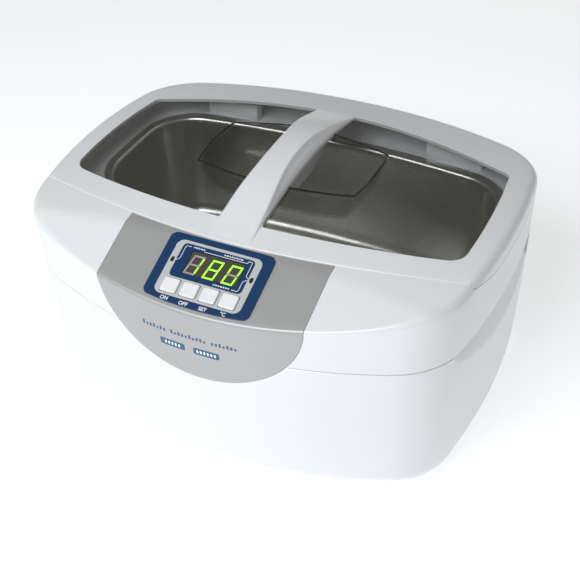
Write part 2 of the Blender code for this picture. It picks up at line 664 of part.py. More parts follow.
def build_lid_window(finish):
    """One smoked moulding: two raised panes, the flange under the frame and the finger well."""
    window = sheet_block("lid_window", LID_WALL - 0.6 * MM, LID_WALL + 2.3 * MM, finish)
    clear = LID_WALL + GAP
    cut(window, loft("window_room", casing_rings(90 * MM, clear, clear)), operation="INTERSECT")
    for name, side in (("left", -1), ("right", 1)):
        pane = sheet_block(f"pane_{name}", 0.3 * MM, LID_WALL + 1.6 * MM)
        edge = prism(f"pane_edge_{name}", window_outline(side, 0.4 * MM), 100 * MM, 220 * MM)
        cut(pane, edge, operation="INTERSECT")
        cut(window, pane, operation="UNION")
    hole = loft("well_hole", [[(x, y, z) for x, y in well_outline(1, 0)] for z in (110 * MM, 220 * MM)])
    cut(window, hole)
    depths = ((0.3, 0, 1.0), (8, 1.0, 0.985), (20, 2.5, 0.95), (26, 4.5, 0.9), (WELL_DEPTH / MM, 9, 0.82))
    outer = []
    for depth, inset, scale in depths:
        outer.append([(x, y, min(roof(x, y), roof(0, 14 * MM)) - depth * MM if depth < 1 else
                       roof(0, 14 * MM) - depth * MM) for x, y in well_outline(scale, (inset - 1.2) * MM)])
    inner = []
    for depth, inset, scale in depths[:-1] + ((WELL_DEPTH / MM - 1.8, 9, 0.82),):
        inner.append([(x, y, roof(0, 14 * MM) - depth * MM if depth > 1 else 180 * MM)
                      for x, y in well_outline(scale, (inset + 0.6) * MM)])
    tub = loft("well_tub", outer)
    cut(tub, loft("well_inside", inner))
    cut(window, tub, operation="UNION")
    half, room = 14.35 * MM, []
    for k in range(22):
        y = (-64 + 7.5 * k) * MM
        low = roof(14 * MM, y) - 2.45 * MM
        room.append([(-half, y, low), (half, y, low), (half, y, 200 * MM), (-half, y, 200 * MM)])
    cut(window, loft("beam_room", room))
    return window


def build_tank(finish, seal_finish):
    floor, rim = TANK_FLOOR_Z, TANK_RIM_Z
    inner = [(42 * MM, floor), (14 * MM, floor), (9 * MM, floor + 1.6 * MM), (6 * MM, floor + 5.5 * MM),
             (4.6 * MM, floor + 12 * MM), (1.2 * MM, rim - 6 * MM), (0.3 * MM, rim - 1.2 * MM),
             (-0.8 * MM, rim)]
    outer = [(-6 * MM, rim), (-6 * MM, rim - 1.2 * MM), (-0.9 * MM, rim - 1.25 * MM),
             (0.1 * MM, rim - 6.2 * MM), (3.5 * MM, floor + 12 * MM), (4.9 * MM, floor + 5.1 * MM),
             (8.3 * MM, floor + 0.8 * MM), (14 * MM, floor - SHEET), (42 * MM, floor - SHEET)]
    rings = []
    for inset, height in inner + outer:
        form = tank_form.outline(min(inset, 27 * MM), 5, 6)
        if inset > 27 * MM:
            middle = 23 * MM
            form = [(x * 0.4, middle + (y - middle) * 0.4) for x, y in form]
        rings.append([(x, y, height) for x, y in form])
    loft("tank", rings, finish)
    low, high = DECK_Z + GAP, rim - 1.2 * MM - GAP
    seal = [[(x, y, z) for x, y in tank_form.outline(inset, 5, 6)]
            for inset, z in ((-5.6 * MM, low), (-2 * MM, low), (-2 * MM, high), (-5.6 * MM, high))]
    loft("tank_seal", seal, seal_finish, closed_tube=True)


def build_transducers(found):
    top = TANK_FLOOR_Z - SHEET - GAP
    for name, x in (("left", -58 * MM), ("right", 58 * MM)):
        spot = place(x, 23 * MM, top)
        head = [(22, 0), (22, -4), (15, -17), (4, -17), (4, -12), (0.4, -12), (0.4, 0), (22, 0)]
        turned(f"transducer_{name}_head", [(r * MM, h * MM) for r, h in head], 20, found["aluminium"], spot)
        for k, start in (("upper", -17.35), ("lower", -22.7)):
            ring = [(15, start), (15, start - 5), (5, start - 5), (5, start), (15, start)]
            turned(f"transducer_{name}_{k}_ring", [(r * MM, h * MM) for r, h in ring], 20, found["ceramic"],
                   spot)
        tail = [(15, -28.05), (15, -37), (4, -37), (4, -28.05), (15, -28.05)]
        turned(f"transducer_{name}_tail", [(r * MM, h * MM) for r, h in tail], 20, found["screw"], spot)
        bolt = [(3.6, -12.4), (3.6, -37.35), (6.2, -37.35), (6.2, -42.5)]
        turned(f"transducer_{name}_bolt", [(r * MM, h * MM) for r, h in bolt], 6, found["screw"], spot)


def build_heater(found):
    top = TANK_FLOOR_Z - SHEET - GAP
    pad = rounded_rectangle(64 * MM, 84 * MM, 5 * MM, 3, (0, 23 * MM))
    prism("heater_pad", pad, top - 1.6 * MM, top, found["silicone"])
    cutout = [(8 * MM, -2 * MM), (8 * MM, -6 * MM), (6 * MM, -6 * MM), (6 * MM, -12 * MM)]
    turned("thermal_cutout", cutout, 16, found["black"], place(0, 23 * MM, top))


def build_main_board(found):
    top = 13.9 * MM
    outline = rounded_rectangle(142 * MM, 46 * MM, 2 * MM, 1, (0, -74 * MM))
    board = prism("main_board", outline, 12.3 * MM, top, found["board"])
    for k, (x, y) in enumerate(BOARD_POSTS):
        cut(board, post(f"board_hole_{k}", x, y, 1.6 * MM, 5 * MM, 20 * MM, 8))
    base = top + GAP
    core = box("transformer_core", (-58 * MM, -90 * MM, base), (-18 * MM, -58 * MM, base + 33 * MM),
               found["screw"])
    cut(core, box("core_window", (-50 * MM, -95 * MM, base + 7 * MM),
                  (-26 * MM, -50 * MM, base + 26 * MM)))
    winding = box("transformer_winding", (-49.6 * MM, -94 * MM, base + 7.4 * MM),
                  (-26.4 * MM, -54 * MM, base + 25.6 * MM), found["copper"])
    winding.modifiers.new("soft_edges", "BEVEL").width = 1.5 * MM
    can = [(9 * MM, base), (9 * MM, base + 27 * MM), (7 * MM, base + 27 * MM), (7 * MM, base + 26.4 * MM)]
    turned("filter_capacitor", can, 20, found["black"], place(0, -74 * MM, 0))
    fins = [(18, 0), (56, 0), (56, 3)]
    for k in range(6):
        left = 56 - 7 * k
        fins += [(left, 3), (left, 16), (left - 2, 16), (left - 2, 3)]
    fins += [(18, 3)]
    outline = [(x * MM, (-94 + y) * MM) for x, y in fins]
    outline = [p for k, p in enumerate(outline) if p != outline[k - 1]]
    prism("heat_sink", outline, base, base + 26 * MM, found["aluminium"])
    for k, name in enumerate(("drive_transistor_left", "drive_transistor_right")):
        x = (26 + 15 * k) * MM
        low, high = (x, -77.6 * MM, base + 6 * MM), (x + 10 * MM, -74 * MM, base + 21 * MM)
        box(name, low, high, found["black"])
    box("heater_relay", (16 * MM, -70 * MM, base), (35 * MM, -56 * MM, base + 15 * MM), found["black"])


def facet_box(name, centre, size, low, high, radius, finish):
    outline = rounded_rectangle(size[0], size[1], radius, 1, centre)
    return prism(name, outline, low, high, finish, PANEL)


def build_panel(found):
    fascia = loft("control_fascia", casing_rings(74 * MM, 0, 0), found["silver"])
    cut(fascia, facet_block("fascia_top", 0))
    cut(fascia, casing_core("fascia_inside", FASCIA_THICK), lid_space("fascia_lid_space", -0.6 * MM, GAP))
    cut(fascia, shield("fascia_shape", 0), operation="INTERSECT")
    cut(fascia, control_opening("control_opening_fascia", 0))

    curve = [(34.5 * MM * (1 - k / 4), (-20.6 - 2.6 * (1 - (1 - k / 4) ** 2)) * MM) for k in range(0, 9)]
    corners = curve + [(-34.5 * MM, 22.6 * MM), (34.5 * MM, 22.6 * MM)]
    radii = [4 * MM] + [0] * 7 + [4 * MM, 4 * MM, 4 * MM]
    outline = rounded_polygon(corners, radii, 3)
    overlay = prism("control_overlay", outline, 0.3 * MM, 1.1 * MM, found["blue"], PANEL)
    centre = (DISPLAY_U, DISPLAY_V)
    cut(overlay, facet_box("lens_hole", centre, DISPLAY_SIZE, -1 * MM, 3 * MM, 0.8 * MM, None))
    lens_size = (DISPLAY_SIZE[0] - 0.7 * MM, DISPLAY_SIZE[1] - 0.7 * MM)
    facet_box("display_lens", centre, lens_size, 0.05 * MM, 1.0 * MM, 0.6 * MM, found["lens"])
    facet_box("display_module", centre, (37.6 * MM, 19 * MM), -7 * MM, -0.3 * MM, 0.5 * MM, found["black"])
    facet_box("display_board", (0, -3 * MM), (66 * MM, 33 * MM), -9 * MM, -7.4 * MM, 1 * MM, found["board"])
    for k, label in enumerate(BUTTONS):
        u = (k - 1.5) * BUTTON_PITCH
        spot = (u, BUTTON_V)
        width, depth = BUTTON_SIZE
        hole = (width + 0.7 * MM, depth + 0.7 * MM)
        cut(overlay, facet_box(f"hole_{label}", spot, hole, -1 * MM, 3 * MM, 1.2 * MM, None))
        rings = []
        for grown, height in ((1.6, -2.4), (1.6, -1.0), (0, -1.0), (0, 1.9), (-0.8, 2.3)):
            size = (width + grown * MM, depth + grown * MM)
            rings.append([(x, y, height * MM) for x, y in rounded_rectangle(*size, 1.0 * MM, 2, spot)])
        loft(f"button_{label}", rings, found["button"], PANEL)
        facet_box(f"switch_{label}", spot, (6 * MM, 6 * MM), -7.1 * MM, -3.5 * MM, 0.4 * MM, found["black"])


def build_inlet(found):
    barrel, flange = (27.4 * MM, 20.4 * MM), (50 * MM, 25 * MM)
    rings = [[(x, y, z * MM) for x, y in rounded_rectangle(*size, 3 * MM, 2)]
             for size, z in ((barrel, -22), (barrel, 0), (flange, 0), (flange, 2.5))]
    body = loft("power_inlet", rings, found["black"], INLET)
    socket = rounded_rectangle(24.4 * MM, 17 * MM, 4 * MM, 2)
    cut(body, prism("socket", socket, -15 * MM, 5 * MM, turn=INLET))
    for name, x, y in (("line", -7, 1.6), ("earth", 0, -2.4), ("neutral", 7, 1.6)):
        low, high = ((x - 1.4) * MM, (y - 2.4) * MM, -30 * MM), ((x + 1.4) * MM, (y + 2.4) * MM, 0)
        cut(body, box(f"slot_{name}", low, high, turn=INLET))
        low, high = ((x - 1) * MM, (y - 2) * MM, -27 * MM), ((x + 1) * MM, (y + 2) * MM, -3 * MM)
        box(f"inlet_pin_{name}", low, high, found["screw"], INLET)


def build_fan(found):
    spot = place(FAN_X, FAN_Y, FAN_Z) @ Matrix.Rotation(math.radians(-90), 4, "X")
    outline = rounded_rectangle(FAN_SIZE, FAN_SIZE, 4 * MM, 2)
    frame = prism("fan_frame", outline, 0, FAN_DEPTH, found["black"], spot)
    cut(frame, turned("fan_bore", [(27.5 * MM, -5 * MM), (27.5 * MM, 20 * MM)], 28, turn=spot))
    cut(frame, turned("fan_motor_plate", [(14 * MM, 0), (14 * MM, 2 * MM)], 16, turn=spot), operation="UNION")
    for k in range(3):
        strut = box(f"fan_strut_{k}", (12 * MM, -1.5 * MM, 0), (28.5 * MM, 1.5 * MM, 2 * MM),
                    turn=spot @ Matrix.Rotation(2 * math.pi * k / 3 + 0.3, 4, "Z"))
        cut(frame, strut, operation="UNION")
    blades, rings = 7, []
    for step in range(5):
        outline = []
        for k in range(blades):
            for share, radius in ((0.0, 13.5), (0.12, 26), (0.26, 26), (0.38, 13.5)):
                angle = 2 * math.pi * (k + share) / blades + 0.62 * step / 4
                outline.append((radius * MM * math.cos(angle), radius * MM * math.sin(angle)))
        rings.append([(x, y, (3 + 10 * step / 4) * MM) for x, y in outline])
    loft("fan_rotor", rings, found["black"], spot)


def build_feet_and_screws(found):
    for k, (x, y) in enumerate(FEET, 1):
        spot = place(x, y, 0)
        turned(f"foot_{k}", [(9 * MM, 0), (9 * MM, 3.65 * MM), (1.6 * MM, 3.65 * MM), (1.6 * MM, 2.4 * MM),
                             (3.9 * MM, 2.4 * MM), (3.9 * MM, 0), (9 * MM, 0)], 20, found["rubber"], spot)
        turned(f"foot_screw_{k}", [(3.2 * MM, 0.9 * MM), (3.2 * MM, 2.1 * MM), (0.9 * MM, 2.1 * MM),
                                   (0.9 * MM, 6.6 * MM)], 10, found["screw"], spot)
    for k, (x, y) in enumerate(CASING_SCREWS, 1):
        turned(f"casing_screw_{k}", [(3.6 * MM, 3.4 * MM), (3.6 * MM, 5.65 * MM), (1.15 * MM, 5.65 * MM),
                                     (1.15 * MM, 30 * MM)], 10, found["screw"], place(x, y, 0))


def build():
    for leftover in list(bpy.data.objects):
        bpy.data.objects.remove(leftover, do_unlink=True)
    machine_frame = bpy.data.objects.new("machine_frame", None)
    bpy.context.scene.collection.objects.link(machine_frame)
    machine_frame.location = (0, SHIFT_Y, 0)
    bpy.context.view_layer.update()
    found = finishes()
    build_lower_housing(found["white"])
    build_upper_housing(found["white"])
    build_lid_frame(found["white"])
    build_lid_window(found["smoke"])
    build_hinge_pins(found["screw"])
    build_tank(found["steel"], found["rubber"])
    build_transducers(found)
    build_heater(found)
    build_main_board(found)
    build_panel(found)
    build_inlet(found)
    build_fan(found)
    build_feet_and_screws(found)


build()
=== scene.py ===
import math

import bpy
from mathutils import Matrix, Vector


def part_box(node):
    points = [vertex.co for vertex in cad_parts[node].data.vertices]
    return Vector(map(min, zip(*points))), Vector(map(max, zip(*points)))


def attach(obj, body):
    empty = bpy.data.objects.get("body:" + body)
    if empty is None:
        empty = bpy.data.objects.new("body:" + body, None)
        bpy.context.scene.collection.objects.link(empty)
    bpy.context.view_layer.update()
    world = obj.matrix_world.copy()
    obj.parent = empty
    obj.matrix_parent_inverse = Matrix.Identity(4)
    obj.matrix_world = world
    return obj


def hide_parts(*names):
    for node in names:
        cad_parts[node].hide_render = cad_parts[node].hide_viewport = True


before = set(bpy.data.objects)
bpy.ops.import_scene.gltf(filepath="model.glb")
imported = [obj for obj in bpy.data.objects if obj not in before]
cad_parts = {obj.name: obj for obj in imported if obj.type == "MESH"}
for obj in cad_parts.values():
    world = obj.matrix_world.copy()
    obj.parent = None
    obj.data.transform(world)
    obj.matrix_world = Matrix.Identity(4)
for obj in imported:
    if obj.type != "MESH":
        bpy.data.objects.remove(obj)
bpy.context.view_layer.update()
mm = 0.001


# ---- tools for modelling

def inMm(**sizes):
    return {name: size * mm for name, size in sizes.items()}


def clamp(value, low=0.0, high=1.0):
    return min(high, max(low, value))


def spread(low, high, count):
    return [low + (high - low) * k / count for k in range(count + 1)]


def deselectAll():
    if bpy.context.object and bpy.context.object.mode != "OBJECT":
        bpy.ops.object.mode_set(mode="OBJECT")
    bpy.ops.object.select_all(action="DESELECT")


def pick(piece):
    deselectAll()
    piece.select_set(True)
    bpy.context.view_layer.objects.active = piece
    return piece


def settle(piece):
    # put the object at the origin, with its place in its mesh
    pick(piece)
    bpy.ops.object.transform_apply(location=True, rotation=True, scale=True)
    return piece


def smooth(piece):
    pick(piece)
    bpy.ops.object.shade_smooth_by_angle(angle=math.radians(35))


def editMesh(*steps):
    # runs mesh operators on the active piece, each with everything selected
    bpy.ops.object.mode_set(mode="EDIT")
    for operator, settings in steps:
        bpy.ops.mesh.select_all(action="SELECT")
        operator(**settings)
    bpy.ops.object.mode_set(mode="OBJECT")


def lift(outline, height):
    # a plan outline as a ring of points; height is a number or a function of x and y
    return [(x, y, height(x, y) if callable(height) else height) for x, y in outline]


def stand(outline, y):
    # an outline seen from the front, as a ring of points
    return [(x, y, z) for x, z in outline]


def circle(radius, sides, centre=(0, 0), tall=None):
    return [(centre[0] + radius * math.cos(2 * math.pi * k / sides),
             centre[1] + (tall or radius) * math.sin(2 * math.pi * k / sides)) for k in range(sides)]


def wrapRings(name, rings, capped=True):
    # a grid is laid along the rings of points and closed on itself, then its ends are filled
    deselectAll()
    around, steps = len(rings[0]), len(rings) - 1
    bpy.ops.mesh.primitive_grid_add(x_subdivisions=around, y_subdivisions=steps, size=1)
    piece = bpy.context.object
    piece.name = name
    for index, vert in enumerate(piece.data.vertices):
        vert.co = rings[index // (around + 1)][index % (around + 1) % around]
    close = [(bpy.ops.mesh.fill_holes, {"sides": 0})] if capped else []
    editMesh((bpy.ops.mesh.remove_doubles, {"threshold": 1e-6}), *close,
             (bpy.ops.mesh.normals_make_consistent, {"inside": False}))
    return piece


def pillar(name, outline, low, high):
    return wrapRings(name, [lift(outline, low), lift(outline, high)])


def block(name, low, high):
    deselectAll()
    middle = [(a + b) / 2 for a, b in zip(low, high)]
    bpy.ops.mesh.primitive_cube_add(size=1, location=middle, scale=[b - a for a, b in zip(low, high)])
    piece = bpy.context.object
    piece.name = name
    return settle(piece)


def move(piece, matrix):
    piece.data.transform(matrix)
    return piece


def carve(piece, *cutters, operation="DIFFERENCE"):
    for cutter in cutters:
        pick(piece)
        boolean = piece.modifiers.new("carve", "BOOLEAN")
        boolean.operation, boolean.object, boolean.solver = operation, cutter, "EXACT"
        bpy.ops.object.modifier_apply(modifier="carve")
        bpy.data.objects.remove(cutter, do_unlink=True)
    return piece


def fuse(piece, *others):
    return carve(piece, *others, operation="UNION")


def keepWithin(piece, room):
    return carve(piece, room, operation="INTERSECT")


def softenEdges(piece, width, segments):
    pick(piece)
    bevel = piece.modifiers.new("soften", "BEVEL")
    bevel.width, bevel.segments, bevel.limit_method = width, segments, "ANGLE"
    bevel.angle_limit = math.radians(40)
    bpy.ops.object.modifier_apply(modifier="soften")
    return piece


def roundedBox(width, depth, radius, steps=6, centre=(0, 0)):
    points = []
    for corner, (sx, sy) in enumerate(((1, 1), (-1, 1), (-1, -1), (1, -1))):
        for k in range(steps + 1):
            angle = math.pi / 2 * (corner + k / steps)
            points.append((centre[0] + sx * (width / 2 - radius) + radius * math.cos(angle),
                           centre[1] + sy * (depth / 2 - radius) + radius * math.sin(angle)))
    return points


def roundCorners(corners, radii, steps=8):
    points = []
    for k, corner in enumerate(corners):
        if radii[k] == 0:
            points.append(tuple(corner))
            continue
        here = Vector(corner)
        back = (Vector(corners[k - 1]) - here).normalized()
        ahead = (Vector(corners[(k + 1) % len(corners)]) - here).normalized()
        half = back.angle(ahead) / 2
        reach = radii[k] / math.tan(half)
        centre = here + (back + ahead).normalized() * (radii[k] / math.sin(half))
        start, end = here + back * reach - centre, here + ahead * reach - centre
        for step in range(steps + 1):
            points.append(tuple(centre + start.lerp(end, step / steps).normalized() * radii[k]))
    return points


# ---- the machine's form

form = inMm(halfWidth=150, front=-122.6, rear=122.6, frontRadius=282, rearRadius=365, sideRadius=420,
            corner=48, sideY=9, bottom=1.5, seam=103.6, wall=2.6, gap=0.45, roof=150.6, crown=9,
            bottomFillet=13, topFillet=5.5, facetFillet=1.5, facetHeight=178.5, facetBlend=7, deck=126.5,
            skirt=11.5, skirtStart=1, wallTop=126)
form["facetSlope"] = 0.40
bath = inMm(halfWidth=127, front=-34, rear=80.5, frontRadius=800, rearRadius=725, sideRadius=600, corner=32,
            sideY=23, floor=50, rim=129.3, sheet=1.0)

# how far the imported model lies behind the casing's own middle, read from the tank
tankLow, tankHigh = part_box("tank")
shiftY = (tankLow.y + tankHigh.y - bath["front"] - bath["rear"]) / 2


def cornerCentre(one, oneRadius, other, shape, upwards):
    gap = other - one
    reach, far = oneRadius - shape["corner"], shape["sideRadius"] - shape["corner"]
    along = (reach ** 2 - far ** 2 + gap.length ** 2) / (2 * gap.length)
    aside = math.sqrt(reach ** 2 - along ** 2)
    unit = gap.normalized()
    normal = Vector((-unit.y, unit.x))
    both = [one + unit * along + normal * aside, one + unit * along - normal * aside]
    return max(both, key=lambda p: p.x + upwards * p.y)


def outlineOf(shape, inset=0.0, longSteps=20, cornerSteps=18):
    # four large arcs with tangent corners, the same on the left and the right
    front = Vector((0, shape["front"] + shape["frontRadius"]))
    rear = Vector((0, shape["rear"] - shape["rearRadius"]))
    side = Vector((shape["halfWidth"] - shape["sideRadius"], shape["sideY"]))
    frontCorner = cornerCentre(front, shape["frontRadius"], side, shape, -1)
    rearCorner = cornerCentre(rear, shape["rearRadius"], side, shape, 1)

    def bearing(centre, point):
        return math.atan2(point.y - centre.y, point.x - centre.x)

    turns = [-math.pi / 2, bearing(front, frontCorner), bearing(side, frontCorner), bearing(side, rearCorner),
             bearing(rear, rearCorner), math.pi / 2]
    arcs = zip((front, frontCorner, side, rearCorner, rear),
               (shape[key] for key in ("frontRadius", "corner", "sideRadius", "corner", "rearRadius")),
               turns, turns[1:], (longSteps, cornerSteps, longSteps, cornerSteps, longSteps))
    right = []
    for centre, radius, start, end, steps in arcs:
        for k in range(steps):
            angle = start + (end - start) * k / steps
            right.append((centre.x + (radius - inset) * math.cos(angle),
                          centre.y + (radius - inset) * math.sin(angle)))
    return right + [(0, shape["rear"] - inset)] + [(-x, y) for x, y in reversed(right[1:])]


def draft(z):
    below = 1 - z / form["roof"]
    return (1.5 * below + 4.5 * below * below) * mm


def baseRoof(x, y):
    return form["roof"] - 0.603 * (y + 8.3 * mm) ** 2 - 0.153 * x * x


def roof(x, y):
    across = max(0.0, 1 - (x / (135 * mm)) ** 2)
    along = max(0.0, 1 - ((y - 21.6 * mm) / (111 * mm)) ** 2)
    return baseRoof(x, y) + form["crown"] * across ** 2 * along ** 2


def facet(x, y):
    return form["facetHeight"] + form["facetSlope"] * y


def seamLine(x):
    # the lid's front edge in plan
    u = clamp(x / (100 * mm), -1.46, 1.46)
    return (-75.4 + 11.8 * u * u - 0.8 * u ** 4) * mm


def parting(x, y):
    # height of the lid's skirt edge, which runs up onto the roof at the front corners
    ramp = clamp((y + 60 * mm) / (35 * mm))
    return baseRoof(x, y) - (form["skirtStart"] + (form["skirt"] - form["skirtStart"]) * ramp)


def casingPlan(z, inset=0.0):
    return outlineOf(form, draft(z) + inset)


def casingTop(x, y, facetToo):
    return min(roof(x, y), facet(x, y)) if facetToo else roof(x, y)


def casingRings(low, inset=0.0, lowered=0.0, roofSteps=26, filletSteps=8, wallStep=6 * mm, facetToo=False):
    # the casing's whole outside from a height upwards, ending near the middle of the roof
    count = max(2, round((form["wallTop"] - low) / wallStep))
    rings = [lift(casingPlan(z, inset), z) for z in spread(low, form["wallTop"], count)]
    for step in range(filletSteps + 1):
        angle = math.pi / 2 * step / filletSteps
        shrink, drop = 1 - math.cos(angle), 1 - math.sin(angle)
        wide = outlineOf(form, form["topFillet"] * shrink + inset)
        tight = outlineOf(form, form["facetFillet"] * shrink + inset)
        ring = []
        for (wideX, wideY), (tightX, tightY) in zip(wide, tight):
            # the facet's edge is rounded more tightly than the roof's
            above = (roof(tightX, tightY) - facet(tightX, tightY)) / form["facetBlend"]
            share = clamp(above) if facetToo else 0
            x, y = wideX + (tightX - wideX) * share, wideY + (tightY - wideY) * share
            radius = form["topFillet"] + (form["facetFillet"] - form["topFillet"]) * share
            ring.append((x, y, casingTop(x, y, facetToo) - radius * drop - lowered))
        rings.append(ring)
    outer = [(x, y) for x, y, z in rings[-1]]
    for k in range(1, roofSteps):
        part = 1 - k / roofSteps
        rings.append(lift([(x * part, y * part) for x, y in outer],
                          lambda x, y: casingTop(x, y, facetToo) - lowered))
    return rings


def frontBlock(name, offset):
    # everything in front of the lid's front edge
    across = [(-160 + 4 * k) * mm for k in range(81)]
    edge = [(x, seamLine(x) + offset) for x in across]
    return pillar(name, [(across[0], -200 * mm), (across[-1], -200 * mm)] + edge[::-1], 90 * mm, 200 * mm)


def facetBlock(name, lowered):
    far, back = 170 * mm, -20 * mm
    return pillar(name, [(-far, -far), (far, -far), (far, back), (-far, back)],
                  lambda x, y: facet(x, y) - lowered, 260 * mm)


def fieldSolid(name, across, rows, startY, endY, low, high, nearRows=(0,)):
    # a block between two height fields, over a strip whose front edge follows startY
    deselectAll()
    count = rows + len(nearRows)
    bpy.ops.mesh.primitive_grid_add(x_subdivisions=count - 1, y_subdivisions=len(across) - 1, size=1)
    piece = bpy.context.object
    piece.name = name
    plan = []
    for x in across:
        start, end = startY(x), endY(x)
        last = start + nearRows[-1]
        plan += [(x, start + reach) for reach in nearRows]
        plan += [(x, last + (end - last) * k / rows) for k in range(1, rows + 1)]
    for vert, (x, y) in zip(piece.data.vertices, plan):
        vert.co = (x, y, low(x, y))
    editMesh((bpy.ops.mesh.extrude_region_move, {}))
    for vert in piece.data.vertices:
        if vert.select:
            vert.co.z = high(vert.co.x, vert.co.y)
    editMesh((bpy.ops.mesh.normals_make_consistent, {"inside": False}))
    return piece


def lidSpace(name, offset, lowered, rounding=0.0):
    # the room that the lid fills, with its front edge rounded when it shapes the lid itself
    near = [rounding * (1 - math.cos(math.pi / 2 * k / 5)) for k in range(6)] + [rounding + 0.15 * mm]

    def high(x, y):
        reach = y - seamLine(x) - offset
        if reach > rounding + 0.01 * mm or rounding == 0:
            return 220 * mm
        rise = math.sqrt(max(0.0, rounding ** 2 - (rounding - reach) ** 2))
        return roof(x, y) + 0.02 * mm - rounding + rise

    return fieldSolid(name, spread(-156 * mm, 156 * mm, 104), 70, lambda x: seamLine(x) + offset,
                      lambda x: 140 * mm, lambda x, y: parting(x, y) - lowered, high,
                      near if rounding else (0,))


# ---- lower shell

lowerLook = inMm(gripDepth=140, gripLow=77, gripRound=6, ventWidth=3, ventHeight=44, ventPitch=6,
                 floorVentLength=52, floorVentPitch=10, seamChamfer=0.4, floor=3)
gripSlope = 0.33


def gripCutter(name, side, thick=0.0):
    # the hand scoop, whose back slopes out towards its lower edge
    top, low, corner = form["seam"] + 9 * mm, lowerLook["gripLow"] - thick, lowerLook["gripRound"]
    outline = roundCorners([(-73 * mm - thick, top), (-60 * mm - thick, low), (58 * mm + thick, low),
                            (70 * mm + thick, top)], [0, corner, corner, 0], 6)
    depth = lowerLook["gripDepth"] - thick
    inner = [((depth + gripSlope * (form["seam"] - z)) * side, y, z) for y, z in outline]
    return wrapRings(name, [inner, [(170 * mm * side, y, z) for y, z in outline]])


panelY = -98 * mm
panelTurn = (Matrix.Translation((0, panelY, facet(0, panelY)))
             @ Matrix.Rotation(math.atan(form["facetSlope"]), 4, "X"))
fascia = inMm(half=67.5, lobeTop=133.5, lobeDepth=53.5, thick=0.8, gap=0.3)


def shield(name, grown):
    # the silver panel's outline from the front: straight sides above a half ellipse
    half, top = fascia["half"] + grown, 190 * mm
    outline = [(-half, top), (-half, fascia["lobeTop"])]
    for angle in (math.pi * k / 64 for k in range(1, 64)):
        outline.append((-half * math.cos(angle),
                        fascia["lobeTop"] - (fascia["lobeDepth"] + grown) * math.sin(angle)))
    outline += [(half, fascia["lobeTop"]), (half, top)]
    return wrapRings(name, [stand(outline, y) for y in (-160 * mm, -55 * mm)])


def casingCore(name, inset):
    core = wrapRings(name, casingRings(66 * mm, inset, inset, 12, 6))
    return carve(core, facetBlock(name + "Facet", inset))


def fasciaRecess(name):
    return carve(shield(name, fascia["gap"]), casingCore(name + "Bed", fascia["thick"] + fascia["gap"]))


inletX, inletZ = 74 * mm, 40 * mm
inletTurn = (Matrix.Translation((inletX, 111.4 * mm, inletZ))
             @ Matrix.Rotation(-math.asin(inletX / form["rearRadius"]), 4, "Z")
             @ Matrix.Rotation(math.radians(-90), 4, "X"))
feet = [(sx * 112 * mm, y) for sx in (-1, 1) for y in (-58 * mm, 62 * mm)]
casingScrews = [(sx * x, y) for sx in (-1, 1) for x, y in ((88 * mm, -74 * mm), (100 * mm, 83 * mm))]
fanX, fanZ = -60 * mm, 52 * mm


def drum(name, x, y, stages, sides=40):
    # a turned shape, from its radius and height at each stage in millimetres
    return wrapRings(name, [lift(circle(wide * mm, sides, (x, y)), height * mm) for wide, height in stages])


def makeLowerShell():
    rings = []
    for step in range(9):
        angle = math.pi / 2 * step / 9
        height = form["bottom"] + form["bottomFillet"] * (1 - math.cos(angle))
        rings.append(lift(casingPlan(height, form["bottomFillet"] * (1 - math.sin(angle))), height))
    chamfer = lowerLook["seamChamfer"]
    top = form["seam"] - form["gap"] / 2
    for height in spread(form["bottom"] + form["bottomFillet"], top - chamfer, 16):
        rings.append(lift(casingPlan(height), height))
    rings.append(lift(casingPlan(top, chamfer), top))
    shell = wrapRings("casingLower", rings)
    floor = form["bottom"] + lowerLook["floor"]
    inner = [lift(casingPlan(z, form["wall"] + extra), z)
             for z, extra in ((floor, 9 * mm), (floor + 3 * mm, 3 * mm), (floor + 9 * mm, 0),
                              (60 * mm, 0), (form["seam"] + 5 * mm, 0))]
    cavity = wrapRings("lowerCavity", inner)
    carve(cavity, *(gripCutter("gripLiner", side, form["wall"]) for side in (1, -1)))
    for x, y in feet:
        carve(cavity, drum("footBoss", x, y, [(12, 0), (12, 8)]))
    carve(shell, cavity, gripCutter("grip", 1), gripCutter("grip", -1))
    for x, y in feet:
        carve(shell, drum("footSeat", x, y, [(9.4, -1), (9.4, 4), (1.2, 4), (1.2, 7)]))
    for x, y in casingScrews:
        carve(shell, drum("screwSeat", x, y, [(4.2, -1), (4.2, 6), (2, 6), (2, 13)]))
    half = lowerLook["ventWidth"] / 2
    for k in range(8):
        x = fanX + (k - 3.5) * lowerLook["ventPitch"]
        slit = roundedBox(2 * half, lowerLook["ventHeight"], half * 0.98, 6, (x, fanZ))
        carve(shell, wrapRings("rearVent", [stand(slit, y) for y in (96 * mm, 130 * mm)]))
    for k in range(7):
        y = (k - 2) * lowerLook["floorVentPitch"]
        slit = roundedBox(lowerLook["floorVentLength"], 2 * half, half * 0.98, 6, (0, y))
        carve(shell, pillar("floorVent", slit, -2 * mm, 9 * mm))
    hole = move(pillar("inletHole", roundedBox(28.2 * mm, 21.2 * mm, 3 * mm), -12 * mm, 12 * mm), inletTurn)
    seat = move(pillar("inletSeat", roundedBox(52 * mm, 27 * mm, 3 * mm), -0.35 * mm, 12 * mm), inletTurn)
    return carve(shell, hole, seat, fasciaRecess("fasciaRecessLow"))


# ---- upper shell

hinge = inMm(y=122.9, z=129.4, middle=42, radius=3.3, lidWidth=16, housingWidth=9, spacing=12.9, root=118.2,
             hole=1.6)


